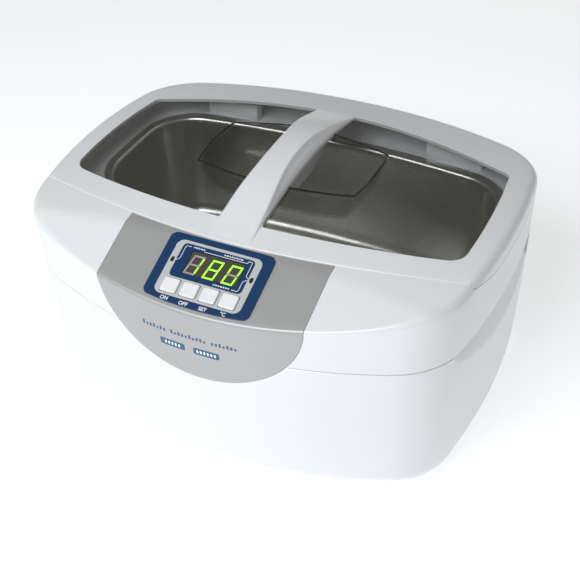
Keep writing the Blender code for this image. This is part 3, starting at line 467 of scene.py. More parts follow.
def hingeEye(name, x, width, ofLid):
    # a round eye with its web, seen from the side as the hull of a circle and a root
    points = circle(hinge["radius"], 32, (hinge["y"], hinge["z"]))
    if ofLid:
        points += [(hinge["root"], hinge["z"] + 6.5 * mm), (hinge["y"] + 1 * mm, hinge["z"] + 6.5 * mm),
                   (hinge["root"], hinge["z"] - 1.5 * mm)]
    else:
        points += [(hinge["root"], hinge["z"] + 1.5 * mm), (hinge["root"], hinge["z"] - 9 * mm),
                   (hinge["y"] + 0.5 * mm, hinge["z"] - 9 * mm)]
    deselectAll()
    bpy.ops.mesh.primitive_circle_add(vertices=len(points), radius=1)
    eye = bpy.context.object
    eye.name = name
    for vert, (y, z) in zip(eye.data.vertices, points):
        vert.co = (x - width / 2, y, z)
    editMesh((bpy.ops.mesh.extrude_region_move, {"TRANSFORM_OT_translate": {"value": (width, 0, 0)}}),
             (bpy.ops.mesh.convex_hull, {}),
             (bpy.ops.mesh.dissolve_limited, {"angle_limit": math.radians(1)}),
             (bpy.ops.mesh.normals_make_consistent, {"inside": False}))
    return eye


def eyeRoom(name, x, width, ofLid):
    reach = hinge["radius"] + 0.5 * mm
    low, high = hinge["z"] - (8 * mm if ofLid else reach), hinge["z"] + (reach if ofLid else 8 * mm)
    return block(name, (x - width / 2, 112 * mm, low), (x + width / 2, 130 * mm, high))


def pinHole(name, side):
    ring = circle(hinge["hole"], 24, (hinge["y"], hinge["z"]))
    ends = [side * hinge["middle"] + reach for reach in (-19 * mm, 19 * mm)]
    return wrapRings(name, [[(x, y, z) for y, z in ring] for x in ends])


def controlOpening(name, grown):
    # the panel's opening for the buttons and the display
    outline = roundedBox(55 * mm + grown, 37 * mm + grown, 2 * mm, 4, (0, -0.2 * mm))
    return move(pillar(name, outline, -12 * mm, 12 * mm), panelTurn)


def makeUpperShell():
    chamfer = lowerLook["seamChamfer"]
    start = form["seam"] + form["gap"] / 2
    shell = wrapRings("casingUpper", [lift(casingPlan(start, chamfer), start),
                                      *casingRings(start + chamfer, 0, 0, 40, 8, 5 * mm, True)])
    recess = pillar("deckRecess", casingPlan(130 * mm, 3.2 * mm), form["deck"], 230 * mm)
    carve(recess, frontBlock("deckFront", form["wall"]))
    under = [lift(casingPlan(z, form["wall"]), z) for z in (96 * mm, form["deck"] - form["wall"])]
    bathHole = pillar("bathHole", outlineOf(bath, -bath["sheet"] - 0.6 * mm), 110 * mm, 140 * mm)
    carve(shell, lidSpace("lidSpace", 0, form["gap"]), recess, wrapRings("deckUnderside", under), bathHole)
    for x, y in casingScrews:
        fuse(shell, drum("casingPost", x, y, [(5, 11.4), (5, 124.5)], 24))
    for side in (-1, 1):
        for shift in (-hinge["spacing"], hinge["spacing"]):
            eye = hingeEye("housingEye", side * (hinge["middle"] + shift), hinge["housingWidth"], False)
            fuse(shell, eye)
        carve(shell, eyeRoom("lidEyeRoom", side * hinge["middle"], hinge["lidWidth"] + 1 * mm, False),
              pinHole("housingPinHole", side))
        ends = sorted((64 * side * mm, 104 * side * mm))
        ledge = block("hingeLedge", (ends[0], 87.5 * mm, form["deck"] - 1 * mm), (ends[1], 96 * mm, 139 * mm))
        fuse(shell, softenEdges(ledge, 1.2 * mm, 3))
    return carve(shell, fasciaRecess("fasciaRecessHigh"), controlOpening("controlOpening", 0.6 * mm))


# ---- lid

lid = inMm(wall=2.6, handleRise=8.6, handleMiddle=6, handleReach=81, keelDepth=16, frontRounding=0.9,
           wellFront=-20.5, wellRear=48, bulge=2.6)
# depth in mm, inset in mm and share of the outline, from the brim to the well's floor
wellStages = ((0.25, -0.1, 1.0), (2, 0.3, 0.998), (8, 1.0, 0.985), (14, 1.6, 0.97), (20, 2.5, 0.95),
              (24, 3.6, 0.925), (27, 5.6, 0.885), (28.4, 7.6, 0.85), (29, 10, 0.81))


def bowed(start, end, t):
    # a point on the way from start to end along a side that bulges outwards
    x = start[0] + (end[0] - start[0]) * t + lid["bulge"] * 4 * t * (1 - t)
    return (x, start[1] + (end[1] - start[1]) * t)


def windowOutline(side, inset, steps=18):
    # one window's outline, bowed at the front and the rear
    inner, outerFront, outerRear = 14.2 * mm + inset, 132 * mm - inset, 129.5 * mm - inset
    fronts = [(x, -57.5 * mm + 1.1 * x * x + inset) for x in spread(inner, outerFront, steps)]
    rears = [(x, 84.5 * mm - 1.35 * x * x - inset) for x in spread(inner, outerRear, steps)]
    sides = [bowed(fronts[-1], rears[-1], k / steps) for k in range(4, steps - 3)]
    rounding = {rears[0]: 1.5 * mm, fronts[0]: 1.5 * mm, fronts[-1]: 12 * mm - inset, rears[-1]: 6 * mm}
    points = [rears[0], *fronts, *sides, *rears[:0:-1]]
    # points that a rounded corner would swallow are dropped
    kept = [point for point in points if point in rounding
            or all(math.dist(point, corner) >= radius * 1.3 for corner, radius in rounding.items())]
    return [(side * x, y) for x, y in roundCorners(kept, [rounding.get(point, 0) for point in kept])]


def handleShare(y):
    away = abs(y - lid["handleMiddle"]) / lid["handleReach"]
    return max(0.0, 1 - away ** 2.4) ** 1.7


def wellOutline(scale, inset, steps=16):
    frontCorner, rearCorner = (53.5 * mm, -11.5 * mm), (54.5 * mm, 40.5 * mm)
    middle = Vector((0, (lid["wellFront"] + lid["wellRear"]) / 2))

    def arch(corner, peak, t):
        return (corner[0] * t, peak + (corner[1] - peak) * t * t)

    right = [arch(frontCorner, lid["wellFront"], k / steps) for k in range(steps)]
    right += [bowed(frontCorner, rearCorner, k / steps) for k in range(steps)]
    right += [arch(rearCorner, lid["wellRear"], 1 - k / steps) for k in range(steps + 1)]
    points = []
    for x, y in right + [(-x, y) for x, y in reversed(right[1:-1])]:
        away = Vector((x, y)) - middle
        away *= scale * (1 - inset / away.length)
        points.append((middle.x + away.x, middle.y + away.y))
    return points


def makeHandle():
    # the arched bar with rounded shoulders and a keel that hangs into the finger well
    rings = []
    wellLength = lid["wellRear"] - lid["wellFront"]
    for y in spread(-71 * mm, 97 * mm, 112):
        edge = roof(14 * mm, y)
        share = handleShare(y)
        rise = lid["handleRise"] * share + 0.12 * mm
        top, half = edge + rise, 13.3 - 4.3 * share ** 3
        fromMiddle = (2 * y - lid["wellFront"] - lid["wellRear"]) / (wellLength - 14 * mm)
        hang = lid["keelDepth"] * math.sqrt(max(0.0, 1 - fromMiddle ** 2))
        low, deep = edge - 1.9 * mm - hang, hang > 2.5 * mm
        shoulder, dip = min(1.6, rise / mm * 0.45), min(1, rise / (4 * mm))
        section = [(14, edge - 1.9 * mm), (14, edge - 0.2 * mm), (13.9, edge + rise * 0.06),
                   (0.55 * 13.9 + 0.45 * half, edge + rise * 0.45)]
        for k in range(6):
            angle = math.pi / 2 * k / 5
            section.append((half - shoulder * (1 - math.cos(angle)) + 0.15 * (5 - k) / 5,
                            top - shoulder * mm * (1 - math.sin(angle)) - 0.35 * mm * dip))
        section += [(half * 0.5, top - 0.1 * mm * dip), (0, top)]
        right = [(x * mm, z) for x, z in section]
        keel = [(11.8 * mm, edge - 2.1 * mm), (11.3 * mm, low + 2.5 * mm if deep else edge - 2.1 * mm),
                (10.4 * mm, low + 0.7 * mm if deep else low - 0.2 * mm), (8.5 * mm, low - 0.2 * mm)]
        ring = right + [(-x, z) for x, z in reversed(right[:-1])]
        ring += [(-x, z) for x, z in keel] + [(x, z) for x, z in reversed(keel)]
        rings.append(stand(ring, y))
    return wrapRings("handle", rings)


def makeLidFrame():
    frameShell = wrapRings("lidShell", casingRings(100 * mm))
    hollow = wrapRings("lidHollow", casingRings(90 * mm, lid["wall"], lid["wall"]))
    carve(hollow, frontBlock("lidHollowFront", lid["wall"] + form["gap"]))
    keepWithin(frameShell, lidSpace("lidReach", form["gap"], 0, lid["frontRounding"]))
    carve(frameShell, hollow)
    for side in (-1, 1):
        carve(frameShell, pillar("windowOpening", windowOutline(side, 0), 120 * mm, 200 * mm))
    gap = block("handleGap", (-19.7 * mm, -55.6 * mm, 120 * mm), (19.3 * mm, 82.7 * mm, 200 * mm))
    carve(frameShell, gap)
    fuse(frameShell, makeHandle())
    for side in (-1, 1):
        for shift in (-hinge["spacing"], hinge["spacing"]):
            carve(frameShell, eyeRoom("housingEyeRoom", side * (hinge["middle"] + shift),
                                      hinge["housingWidth"] + 0.8 * mm, True))
        eye = hingeEye("lidEye", side * hinge["middle"], hinge["lidWidth"], True)
        fuse(frameShell, eye)
        carve(frameShell, pinHole("lidPinHole", side))
    return frameShell


def paneSheet(name, top, bottom):
    # a sheet that follows the roof, between two depths below it
    return fieldSolid(name, spread(-137 * mm, 137 * mm, 70), 44, lambda x: -62 * mm + 1.1 * x * x,
                      lambda x: 89 * mm - 1.35 * x * x, lambda x, y: roof(x, y) - bottom,
                      lambda x, y: roof(x, y) - top)


def wellLevel(x, y, depth):
    # the brim follows the roof, and the floor is level
    level = min(1.0, depth / 16)
    return roof(x, y) * (1 - level) + roof(0, 14 * mm) * level - depth * mm


def makeLidWindow():
    clear = lid["wall"] + 0.35 * mm
    window = paneSheet("lidPane", lid["wall"] - 0.6 * mm, lid["wall"] + 1.9 * mm)
    keepWithin(window, wrapRings("windowRoom", casingRings(90 * mm, clear, clear)))
    for side in (-1, 1):
        pane = paneSheet("pane", 0.25 * mm, lid["wall"] + 1.2 * mm)
        edge = pillar("paneEdge", windowOutline(side, 0.35 * mm), 100 * mm, 220 * mm)
        fuse(window, keepWithin(pane, edge))
    carve(window, pillar("wellHole", wellOutline(1, 0), 110 * mm, 220 * mm))
    outer, inner = [], []
    for depth, inset, scale in wellStages:
        thinner = depth - 1.7 * (depth / 29) ** 2
        outer.append(lift(wellOutline(scale, (inset - 1.0) * mm), lambda x, y: wellLevel(x, y, depth)))
        inner.append(lift(wellOutline(scale, (inset + 0.7) * mm),
                          180 * mm if depth < 1 else lambda x, y: wellLevel(x, y, thinner)))
    tub = wrapRings("wellTub", outer)
    fuse(window, carve(tub, wrapRings("wellInside", inner)))
    room, half, high = [], 14.35 * mm, 200 * mm
    for y in spread(-64 * mm, 94 * mm, 40):
        low = roof(14 * mm, y) - 2.45 * mm
        room.append([(-half, y, low), (half, y, low), (half, y, high), (-half, y, high)])
    return carve(window, wrapRings("beamRoom", room))


def makeWellRim():
    # the moulding's dark edge round the finger well, from insets and heights in millimetres
    section = ((-0.9, -1), (-0.9, -0.1), (-0.2, 0.02), (0.15, -0.3), (0.15, -1), (-0.9, -1))
    rings = []
    for inset, height in section:
        rings.append(lift(wellOutline(1, inset * mm), lambda x, y: roof(x, y) + height * mm))
    rim = wrapRings("wellRim", rings, capped=False)
    return carve(rim, block("handleRoom", (-14.3 * mm, -60 * mm, 120 * mm), (14.3 * mm, 90 * mm, 180 * mm)))


# ---- tank

def makeBath():
    # insets and heights in millimetres: up the inside, over the rim and down the outside
    floor, rim = bath["floor"] / mm, bath["rim"] / mm
    inner = [(120, floor - 0.4), (60, floor - 0.2), (20, floor)]
    for angle in (math.pi / 2 * k / 8 for k in range(9)):
        inner.append((5 + 9 * (1 - math.sin(angle)), floor + 9 * (1 - math.cos(angle))))
    inner += [(1.2 + 3.8 * (1 - t), floor + 9 + (rim - floor - 13) * t)
              for t in (0.15, 0.3, 0.45, 0.6, 0.75, 0.9, 1)]
    inner += [(0.9, rim - 2), (0.4, rim - 0.8), (-0.4, rim - 0.2), (-1.4, rim)]
    outer = [(-6, rim), (-6, rim - 1.2), (-0.9, rim - 1.25), (0.1, rim - 6.2), (3.5, floor + 12),
             (4.9, floor + 5.1), (8.3, floor + 0.8), (20, floor - 1), (60, floor - 1)]
    rings = []
    for inset, height in inner + outer:
        part = min(1.0, (130 - inset) / 110)
        plan = [(x * part, bath["sideY"] + (y - bath["sideY"]) * part)
                for x, y in outlineOf(bath, min(inset, 20) * mm, 14, 14)]
        rings.append(lift(plan, height * mm))
    return wrapRings("bathShell", rings)


# ---- control panel

buttonLook = inMm(pitch=12.8, row=-12.4, width=10.4, depth=9.4, rise=2.3, shoulder=0.8, collar=1.6)
buttonNames = ("on", "off", "set", "temperature")


def makeFascia():
    skin = wrapRings("fasciaPanel", casingRings(70 * mm, 0, 0, 40, 8, 4 * mm, True))
    carve(skin, casingCore("fasciaInside", fascia["thick"]),
          lidSpace("fasciaLidSpace", -0.6 * mm, form["gap"]))
    keepWithin(skin, shield("fasciaShape", 0))
    return carve(skin, controlOpening("fasciaOpening", 0))


def makeButton(name, u):
    # a cap with rounded shoulders and a slightly dished top, over its hidden collar
    width, depth, rise, row, collar = (buttonLook[key] for key in ("width", "depth", "rise", "row", "collar"))
    rings = []
    for grown, height in ((collar, -2.4), (collar, -1.0), (0, -1.0), (0, 1.2)):
        rings.append(lift(roundedBox(width + grown, depth + grown, 1.1 * mm, 6, (u, row)), height * mm))
    for angle in (math.pi / 2 * k / 6 for k in range(1, 7)):
        pulled = buttonLook["shoulder"] * (1 - math.cos(angle))
        plan = roundedBox(width - 2 * pulled, depth - 2 * pulled, 1.1 * mm - 0.5 * pulled, 6, (u, row))
        rings.append(lift(plan, rise - buttonLook["shoulder"] * (1 - math.sin(angle))))
    for part, dish in ((0.8, 0.028), (0.5, 0.07), (0.125, 0.112)):
        rings.append([(u + (x - u) * part, row + (y - row) * part, rise - dish * mm) for x, y in plan])
    return move(wrapRings(name, rings), panelTurn)


print("modelling the casing")
lowerShell = makeLowerShell()
print("lower shell done")
upperShell = makeUpperShell()
print("upper shell done")
lidFrame = makeLidFrame()
print("lid frame done")
lidWindow = makeLidWindow()
print("lid window done")
wellRim = makeWellRim()
bathShell = makeBath()
fasciaPanel = makeFascia()
print("fascia done")
buttons = [makeButton("cap_" + name, (k - 1.5) * buttonLook["pitch"]) for k, name in enumerate(buttonNames)]

for piece in (lowerShell, upperShell, lidFrame, lidWindow, wellRim, bathShell, fasciaPanel, *buttons):
    move(piece, Matrix.Translation((0, shiftY, 0)))
    smooth(piece)
for piece, node, body in ((lowerShell, "lower_housing", "housing"), (upperShell, "upper_housing", "housing"),
                          (lidFrame, "lid_frame", "lid"), (lidWindow, "lid_window", "lid"),
                          (bathShell, "tank", "housing"), (fasciaPanel, "control_fascia", "housing")):
    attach(piece, body)
    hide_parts(node)
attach(wellRim, "lid")
for name, cap in zip(buttonNames, buttons):
    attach(cap, name + "_button")
    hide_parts("button_" + name)


# ---- marks on the panel

marks = inMm(filmTop=1.1, lensTop=1.0, thick=0.1, print=0.06, digitWidth=7.5, digitHeight=13.2,
             digitPitch=12.4, digitStart=-16.1, digitLow=-2.5, stroke=1.15, lineWidth=0.36, labelSize=3.3,
             ovalX=26, ovalY=4.2, lineStart=-34.3, linePitch=2.44, lineZ=109.6, pillZ=101.4, tickPitch=2.3)
digitSlant = 0.165
labels = ("ON", "OFF", "SET", "°C")


def onPanel(name, outline, low, thick):
    return move(pillar(name, outline, low, low + thick), panelTurn)


def joined(name, parts):
    deselectAll()
    for part in parts:
        part.select_set(True)
    bpy.context.view_layer.objects.active = parts[0]
    bpy.ops.object.join()
    parts[0].name = name
    return parts[0]


def segmentOutlines(left, low):
    # the seven slanted bars of a digit: top, middle, bottom, then the left and the right uprights
    wide, high, thick = marks["digitWidth"], marks["digitHeight"], marks["stroke"]
    cut, gap, bars = 0.3 * mm, 0.16 * mm, []
    for level in (high - thick, (high - thick) / 2, 0):
        above = level + thick
        bars.append([(cut, level), (wide - cut, level), (wide, level + cut), (wide, above - cut),
                     (wide - cut, above), (cut, above), (0, above - cut), (0, level + cut)])
    for x in (0, wide - thick):
        for start, end in (((high + thick) / 2, high - thick), (thick, (high - thick) / 2)):
            bars.append([(x, start + gap), (x + thick, start + gap), (x + thick, end - gap), (x, end - gap)])
    return [[(left + x + digitSlant * y, low + y) for x, y in bar] for bar in bars]


def makeDigits():
    # the reading 180: which of top, middle, bottom, upper left, lower left, upper right, lower right are lit
    reading = ((0, 0, 0, 0, 0, 1, 1), (1, 1, 1, 1, 1, 1, 1), (1, 0, 1, 1, 1, 1, 1))
    lit, dark = [], []
    for place, pattern in enumerate(reading):
        outlines = segmentOutlines(marks["digitStart"] + place * marks["digitPitch"], marks["digitLow"])
        for outline, on in zip(outlines, pattern):
            (lit if on else dark).append(onPanel("bar", outline, marks["lensTop"], marks["print"]))
    return joined("digitsLit", lit), joined("digitsDark", dark)


def ribbon(name, route, width):
    # a thin line of even width along a route
    left, right = [], []
    for k, point in enumerate(route):
        here = Vector(point)
        before = (here - Vector(route[k - 1])).normalized() if k else None
        after = (Vector(route[k + 1]) - here).normalized() if k < len(route) - 1 else None
        along = ((before or after) + (after or before)).normalized()
        side = Vector((-along.y, along.x)) * width / 2
        if before and after:
            side /= max(0.5, along.dot(after))
        left.append(tuple(here + side))
        right.append(tuple(here - side))
    return onPanel(name, left + right[::-1], marks["filmTop"], marks["print"])


def bend(route, radius, steps=5):
    # rounds the inner corners of an open route
    points = [route[0]]
    for before, corner, after in zip(route, route[1:], route[2:]):
        here, back, ahead = Vector(corner), Vector(before), Vector(after)
        start = here + (back - here).normalized() * radius
        end = here + (ahead - here).normalized() * radius
        for k in range(steps + 1):
            t = k / steps
            points.append(tuple(start * (1 - t) ** 2 + here * 2 * t * (1 - t) + end * t * t))
    return points + [route[-1]]


frameLook = inMm(width=56.4, depth=37.4, corner=4.6, middle=-0.1, holeWidth=47.6, holeDepth=23.2,
                 holeCorner=2.8, holeMiddle=5.2, capGap=0.7, capCorner=1.3)
# the guide lines and the rows of dashes (start, count, height), in millimetres on the panel
guides = (((-18.4, 15.1), (-21.9, 15.1), (-21.9, 5.6), (-23.6, 4.6)),
          ((-9.5, 13.95), (19.2, 13.95), (19.2, 15.4), (21.9, 15.4), (21.9, 5.8), (23.6, 4.6)),
          ((17.2, -4.9), (21.4, -4.9), (21.4, 2.2), (23.6, 3.6)))
dashes = ((-17.0, 5, 15.2), (3.2, 8, 15.4), (5.0, 7, -4.7))


def makeFrameRing():
    plan = roundedBox(*(frameLook[key] for key in ("width", "depth", "corner")), 8, (0, frameLook["middle"]))
    hole = roundedBox(*(frameLook[key] for key in ("holeWidth", "holeDepth", "holeCorner")), 8,
                      (0, frameLook["holeMiddle"]))
    cutters = [pillar("frameHole", hole, 0, 3 * mm)]
    size = [buttonLook[key] + frameLook["capGap"] for key in ("width", "depth")]
    for k in range(4):
        centre = ((k - 1.5) * buttonLook["pitch"], buttonLook["row"])
        cutters.append(pillar("capHole", roundedBox(*size, frameLook["capCorner"], 5, centre), 0, 3 * mm))
    frameRing = pillar("panelFrame", plan, marks["filmTop"], marks["filmTop"] + marks["thick"])
    return move(carve(frameRing, *cutters), panelTurn)


def makePanelMarks():
    ovals = []
    for side in (-1, 1):
        outline = circle(1.15 * mm, 28, (side * marks["ovalX"], marks["ovalY"]), 1.9 * mm)
        ovals.append(onPanel("oval", outline, marks["filmTop"] + marks["thick"], marks["print"]))
    lines = []
    for route, radius in zip(guides, (1.3 * mm, 0.6 * mm, 1.3 * mm)):
        lines.append(ribbon("guide", bend([(u * mm, v * mm) for u, v in route], radius), marks["lineWidth"]))
    for start, count, v in dashes:
        for k in range(count):
            wide = (1.0 + 0.35 * ((k * 3) % 2)) * mm
            centre = ((start + 0.7 + 1.6 * k) * mm, v * mm)
            lines.append(onPanel("dash", roundedBox(wide, 0.85 * mm, 0.3 * mm, 3, centre),
                                 marks["filmTop"], marks["print"]))
    return joined("panelOvals", ovals), joined("panelLines", lines)


def makeLabels():
    parts = []
    for k, word in enumerate(labels):
        deselectAll()
        bpy.ops.object.text_add()
        text = bpy.context.object
        text.data.body, text.data.size, text.data.offset = word, marks["labelSize"], 0.07 * mm
        text.data.align_x, text.data.extrude, text.data.resolution_u = "CENTER", marks["print"] / 2, 3
        u = (k - 1.5) * buttonLook["pitch"]
        low = (-22.4 if k in (1, 2) else -21.9) * mm
        text.location = (u, low, marks["filmTop"] + marks["print"] / 2)
        bpy.ops.object.convert(target="MESH")
        settle(text)
        parts.append(move(text, panelTurn))
    words = joined("buttonLabels", parts)
    pick(words)
    editMesh((bpy.ops.mesh.remove_doubles, {"threshold": 1e-6}))
    return words


def onLobe(name, outlines, thick=0.06 * mm):
    # marks that follow the lobe's curved face, standing out by the thickness of a print
    prints = joined(name, [wrapRings("mark", [stand(outline, y) for y in (-150 * mm, -100 * mm)])
                           for outline in outlines])
    keepWithin(prints, wrapRings("markOutside", casingRings(70 * mm, -thick, -thick, 3, 2, 4 * mm)))
    return carve(prints, wrapRings("markInside", casingRings(66 * mm, 0.02 * mm, 0, 3, 2, 4 * mm)))


def makeLobeMarks():
    # a row of plain marks like a printed line, over two pills with light marks on them
    line, pills, ticks = [], [], []
    letter = 0
    for count in (7, 10, 7):
        for k in range(count):
            high = (2.5 + 0.7 * math.cos(2.4 * letter)) * mm
            centre = (marks["lineStart"] + marks["linePitch"] * letter, marks["lineZ"] + high / 2)
            line.append(roundedBox(1.35 * mm, high, 0.5 * mm, 3, centre))
            letter += 1
        letter += 1.1
    for middle, count in ((-15.1 * mm, 5), (7.7 * mm, 6)):
        pills.append(roundedBox(17 * mm, 5.0 * mm, 1.1 * mm, 5, (middle, marks["pillZ"])))
        for k in range(count):
            centre = (middle + (k - (count - 1) / 2) * marks["tickPitch"], marks["pillZ"])
            ticks.append(roundedBox(1.2 * mm, 2.3 * mm, 0.4 * mm, 3, centre))
    return line, pills, ticks


print("making the panel's marks")
digitsLit, digitsDark = makeDigits()
panelFrame = makeFrameRing()
panelOvals, panelLines = makePanelMarks()
buttonLabels = makeLabels()
line, pills, ticks = makeLobeMarks()
lobeLine = onLobe("lobeLine", line)
lobePills = onLobe("lobePills", pills)
lobeTicks = onLobe("lobeTicks", ticks, 0.1 * mm)
for piece in (digitsLit, digitsDark, panelFrame, panelOvals, panelLines, buttonLabels, lobeLine, lobePills,
              lobeTicks):
    move(piece, Matrix.Translation((0, shiftY, 0)))
    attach(piece, "housing")


# ---- materials

class Value:
    # a socket that adds Math nodes when it is used in an expression
    def __init__(self, finish, socket):
        self.finish, self.socket = finish, socket

    def math(self, operation, *values):
        return self.finish.node("ShaderNodeMath", {"operation": operation}, dict(enumerate(values)))

    def __add__(self, other):
        return self.math("ADD", self, other)

    def __rsub__(self, other):
        return self.math("SUBTRACT", other, self)

    def __mul__(self, other):
        return self.math("MULTIPLY", self, other)

    def __gt__(self, other):
        return self.math("GREATER_THAN", self, other)

    __radd__ = __add__


class Finish:
    def __init__(self, name):
        self.name, self.material = name, bpy.data.materials.new(name)
        self.material.use_nodes = True
        self.tree = self.material.node_tree
        self.shader = self.tree.nodes["Principled BSDF"]
        self.place = self.node("ShaderNodeTexCoord", output="Object")

    def node(self, kind, settings=None, values=None, output=0):
        node = self.tree.nodes.new(kind)
        for name, setting in (settings or {}).items():
            setattr(node, name, setting)
        self.fill(node, values or {})
        return Value(self, node.outputs[output])

    def fill(self, node, values):
        for name, value in values.items():
            if isinstance(value, Value):
                self.tree.links.new(value.socket, node.inputs[name])
            else:
                node.inputs[name].default_value = value

    def surface(self, **values):
        self.fill(self.shader, {name.replace("_", " "): value for name, value in values.items()})
        return self

    def noise(self, size, detail=2.0, roughness=0.5, stretch=None):
        place = self.place
        if stretch:
            place = self.node("ShaderNodeMapping", {}, {"Vector": self.place, "Scale": stretch})
        return self.node("ShaderNodeTexNoise", {}, {"Vector": place, "Scale": 1 / size, "Detail": detail,
                                                    "Roughness": roughness})

    def tint(self, factor, low, high):
        return self.node("ShaderNodeMix", {"data_type": "RGBA"},
                         {0: factor, 6: (*low, 1), 7: (*high, 1)}, output=2)

    def bump(self, height, distance):
        return self.node("ShaderNodeBump", {}, {"Height": height, "Distance": distance})


def mouldedPlastic(name, colour, rough, grain, depth, vary=0.015, coat=0.0):
    # moulded plastic: broad unevenness in gloss and tone, and the tool's fine texture as bump
    finish = Finish(name)
    broad, fine = finish.noise(45 * mm, 2), finish.noise(grain, 3, 0.6)
    tone = finish.tint(broad, [clamp(c - vary) for c in colour], [clamp(c + vary) for c in colour])
    return finish.surface(Base_Color=tone, Roughness=rough * 0.85 + broad * (rough * 0.3),
                          Normal=finish.bump(fine, depth), Coat_Weight=coat, Coat_Roughness=0.12)


def metal(name, colour, rough, grain, stretch, depth):
    # brushed, turned or plated metal: streaks along one direction under a broad clouding
    finish = Finish(name)
    streaks, cloud = finish.noise(grain, 4, 0.65, stretch), finish.noise(30 * mm, 3)
    tone = finish.tint(streaks * 0.6 + cloud * 0.4, [c * 0.86 for c in colour], [c * 1.1 for c in colour])
    return finish.surface(Base_Color=tone, Metallic=1.0,
                          Roughness=rough * 0.7 + streaks * (rough * 0.5), Normal=finish.bump(streaks, depth))


def smokedWindow():
    finish = Finish("smoked_window")
    cloud, swirl = finish.noise(60 * mm, 2), finish.noise(9 * mm, 2)
    return finish.surface(Base_Color=finish.tint(cloud, (0.060, 0.062, 0.040), (0.085, 0.085, 0.056)),
                          Roughness=0.04 + swirl * 0.05, Alpha=0.155 + cloud * 0.03,
                          Normal=finish.bump(swirl, 0.02 * mm))


def silverPaint():
    finish = Finish("fascia_silver")
    flake, broad = finish.noise(0.35 * mm, 3, 0.7), finish.noise(40 * mm, 2)
    tone = finish.tint(flake * 0.7 + broad * 0.3, (0.36, 0.36, 0.355), (0.50, 0.50, 0.495))
    return finish.surface(Base_Color=tone, Metallic=0.25 + flake * 0.25, Roughness=0.36 + flake * 0.14,
                          Normal=finish.bump(flake, 0.012 * mm))


def printedFilm(name, low, high, rough):
    finish = Finish(name)
    grain, broad = finish.noise(0.25 * mm, 2, 0.6), finish.noise(18 * mm, 2)
    return finish.surface(Base_Color=finish.tint(broad, low, high), Roughness=rough + grain * 0.1,
                          Normal=finish.bump(grain, 0.006 * mm))


def litSegments():
    finish = Finish("lit_segments")
    glow = finish.noise(1.6 * mm, 1)
    colour = finish.tint(glow, (0.26, 0.80, 0.025), (0.36, 0.90, 0.05))
    return finish.surface(Base_Color=colour, Emission_Color=colour, Emission_Strength=0.8, Roughness=0.4)


def circuitBoard():
    # green resist over copper tracks: a fine brick pattern stands in for the tracks, with tinned pads
    finish = Finish("circuit_board")
    turned = finish.node("ShaderNodeMapping", {}, {"Vector": finish.place, "Scale": (1, 1, 0.02)})
    tracks = finish.node("ShaderNodeTexBrick", {"offset": 0.35, "squash": 1.6, "squash_frequency": 3},
                         {"Vector": turned, "Scale": 190.0, "Mortar Size": 0.035, "Mortar Smooth": 0.2,
                          "Brick Width": 1.1, "Row Height": 0.42}, output="Fac")
    pads = finish.node("ShaderNodeTexVoronoi", {"feature": "F1"}, {"Vector": turned, "Scale": 230.0},
                       output="Distance")
    pad = 1 - (pads > 0.16)
    resist = finish.tint(tracks, (0.014, 0.17, 0.075), (0.035, 0.30, 0.13))
    tin = (0.72, 0.70, 0.64, 1)
    colour = finish.node("ShaderNodeMix", {"data_type": "RGBA"}, {0: pad, 6: resist, 7: tin}, output=2)
    return finish.surface(Base_Color=colour, Metallic=pad, Roughness=0.42 - pad * 0.15,
                          Normal=finish.bump(tracks, 0.03 * mm))


def woundTape():
    # yellow tape over a winding, with the edge of each turn showing
    finish = Finish("winding")
    turns = finish.node("ShaderNodeTexWave", {"bands_direction": "Z"},
                        {"Vector": finish.place, "Scale": 160.0, "Distortion": 0.6, "Detail": 1.0},
                        output="Fac")
    return finish.surface(Base_Color=finish.tint(turns, (0.60, 0.44, 0.06), (0.84, 0.66, 0.12)),
                          Roughness=0.3 + turns * 0.2, Normal=finish.bump(turns, 0.08 * mm))


def wovenSilicone():
    # silicone sheet with the weave of its glass cloth
    finish = Finish("heater_silicone")
    weave = finish.node("ShaderNodeTexChecker", {}, {"Vector": finish.place, "Scale": 900.0}, output="Fac")
    cloud = finish.noise(14 * mm, 3)
    return finish.surface(Base_Color=finish.tint(cloud, (0.46, 0.12, 0.03), (0.62, 0.20, 0.06)),
                          Roughness=0.5 + weave * 0.15, Normal=finish.bump(weave, 0.03 * mm))


print("mixing the materials")
along = (1.0, 30.0, 30.0)
finishes = {finish.name: finish for finish in (
    mouldedPlastic("white_plastic", (0.80, 0.812, 0.83), 0.30, 0.5 * mm, 0.004 * mm, 0.008, 0.25),
    smokedWindow(),
    metal("tank_steel", (0.62, 0.62, 0.60), 0.30, 6 * mm, along, 0.01 * mm),
    mouldedPlastic("seal_rubber", (0.03, 0.03, 0.03), 0.75, 0.4 * mm, 0.03 * mm),
    metal("aluminium", (0.66, 0.66, 0.67), 0.38, 5 * mm, (30.0, 30.0, 1.0), 0.02 * mm),
    silverPaint(),
    printedFilm("overlay_blue", (0.001, 0.030, 0.105), (0.002, 0.040, 0.13), 0.3),
    mouldedPlastic("button_white", (0.84, 0.85, 0.86), 0.36, 0.3 * mm, 0.01 * mm, 0.01),
    printedFilm("display_lens", (0.060, 0.054, 0.046), (0.080, 0.072, 0.062), 0.14),
    circuitBoard(),
    mouldedPlastic("black_plastic", (0.028, 0.028, 0.03), 0.48, 0.45 * mm, 0.04 * mm, 0.008),
    metal("plated_steel", (0.58, 0.58, 0.56), 0.30, 2 * mm, (12.0, 12.0, 12.0), 0.02 * mm),
    mouldedPlastic("piezo_ceramic", (0.15, 0.14, 0.13), 0.62, 0.6 * mm, 0.05 * mm, 0.03),
    woundTape(),
    wovenSilicone())}
frameFilm = printedFilm("frame_film", (0.50, 0.50, 0.50), (0.57, 0.57, 0.57), 0.32)
whitePrint = printedFilm("white_print", (0.80, 0.83, 0.86), (0.88, 0.90, 0.92), 0.4)
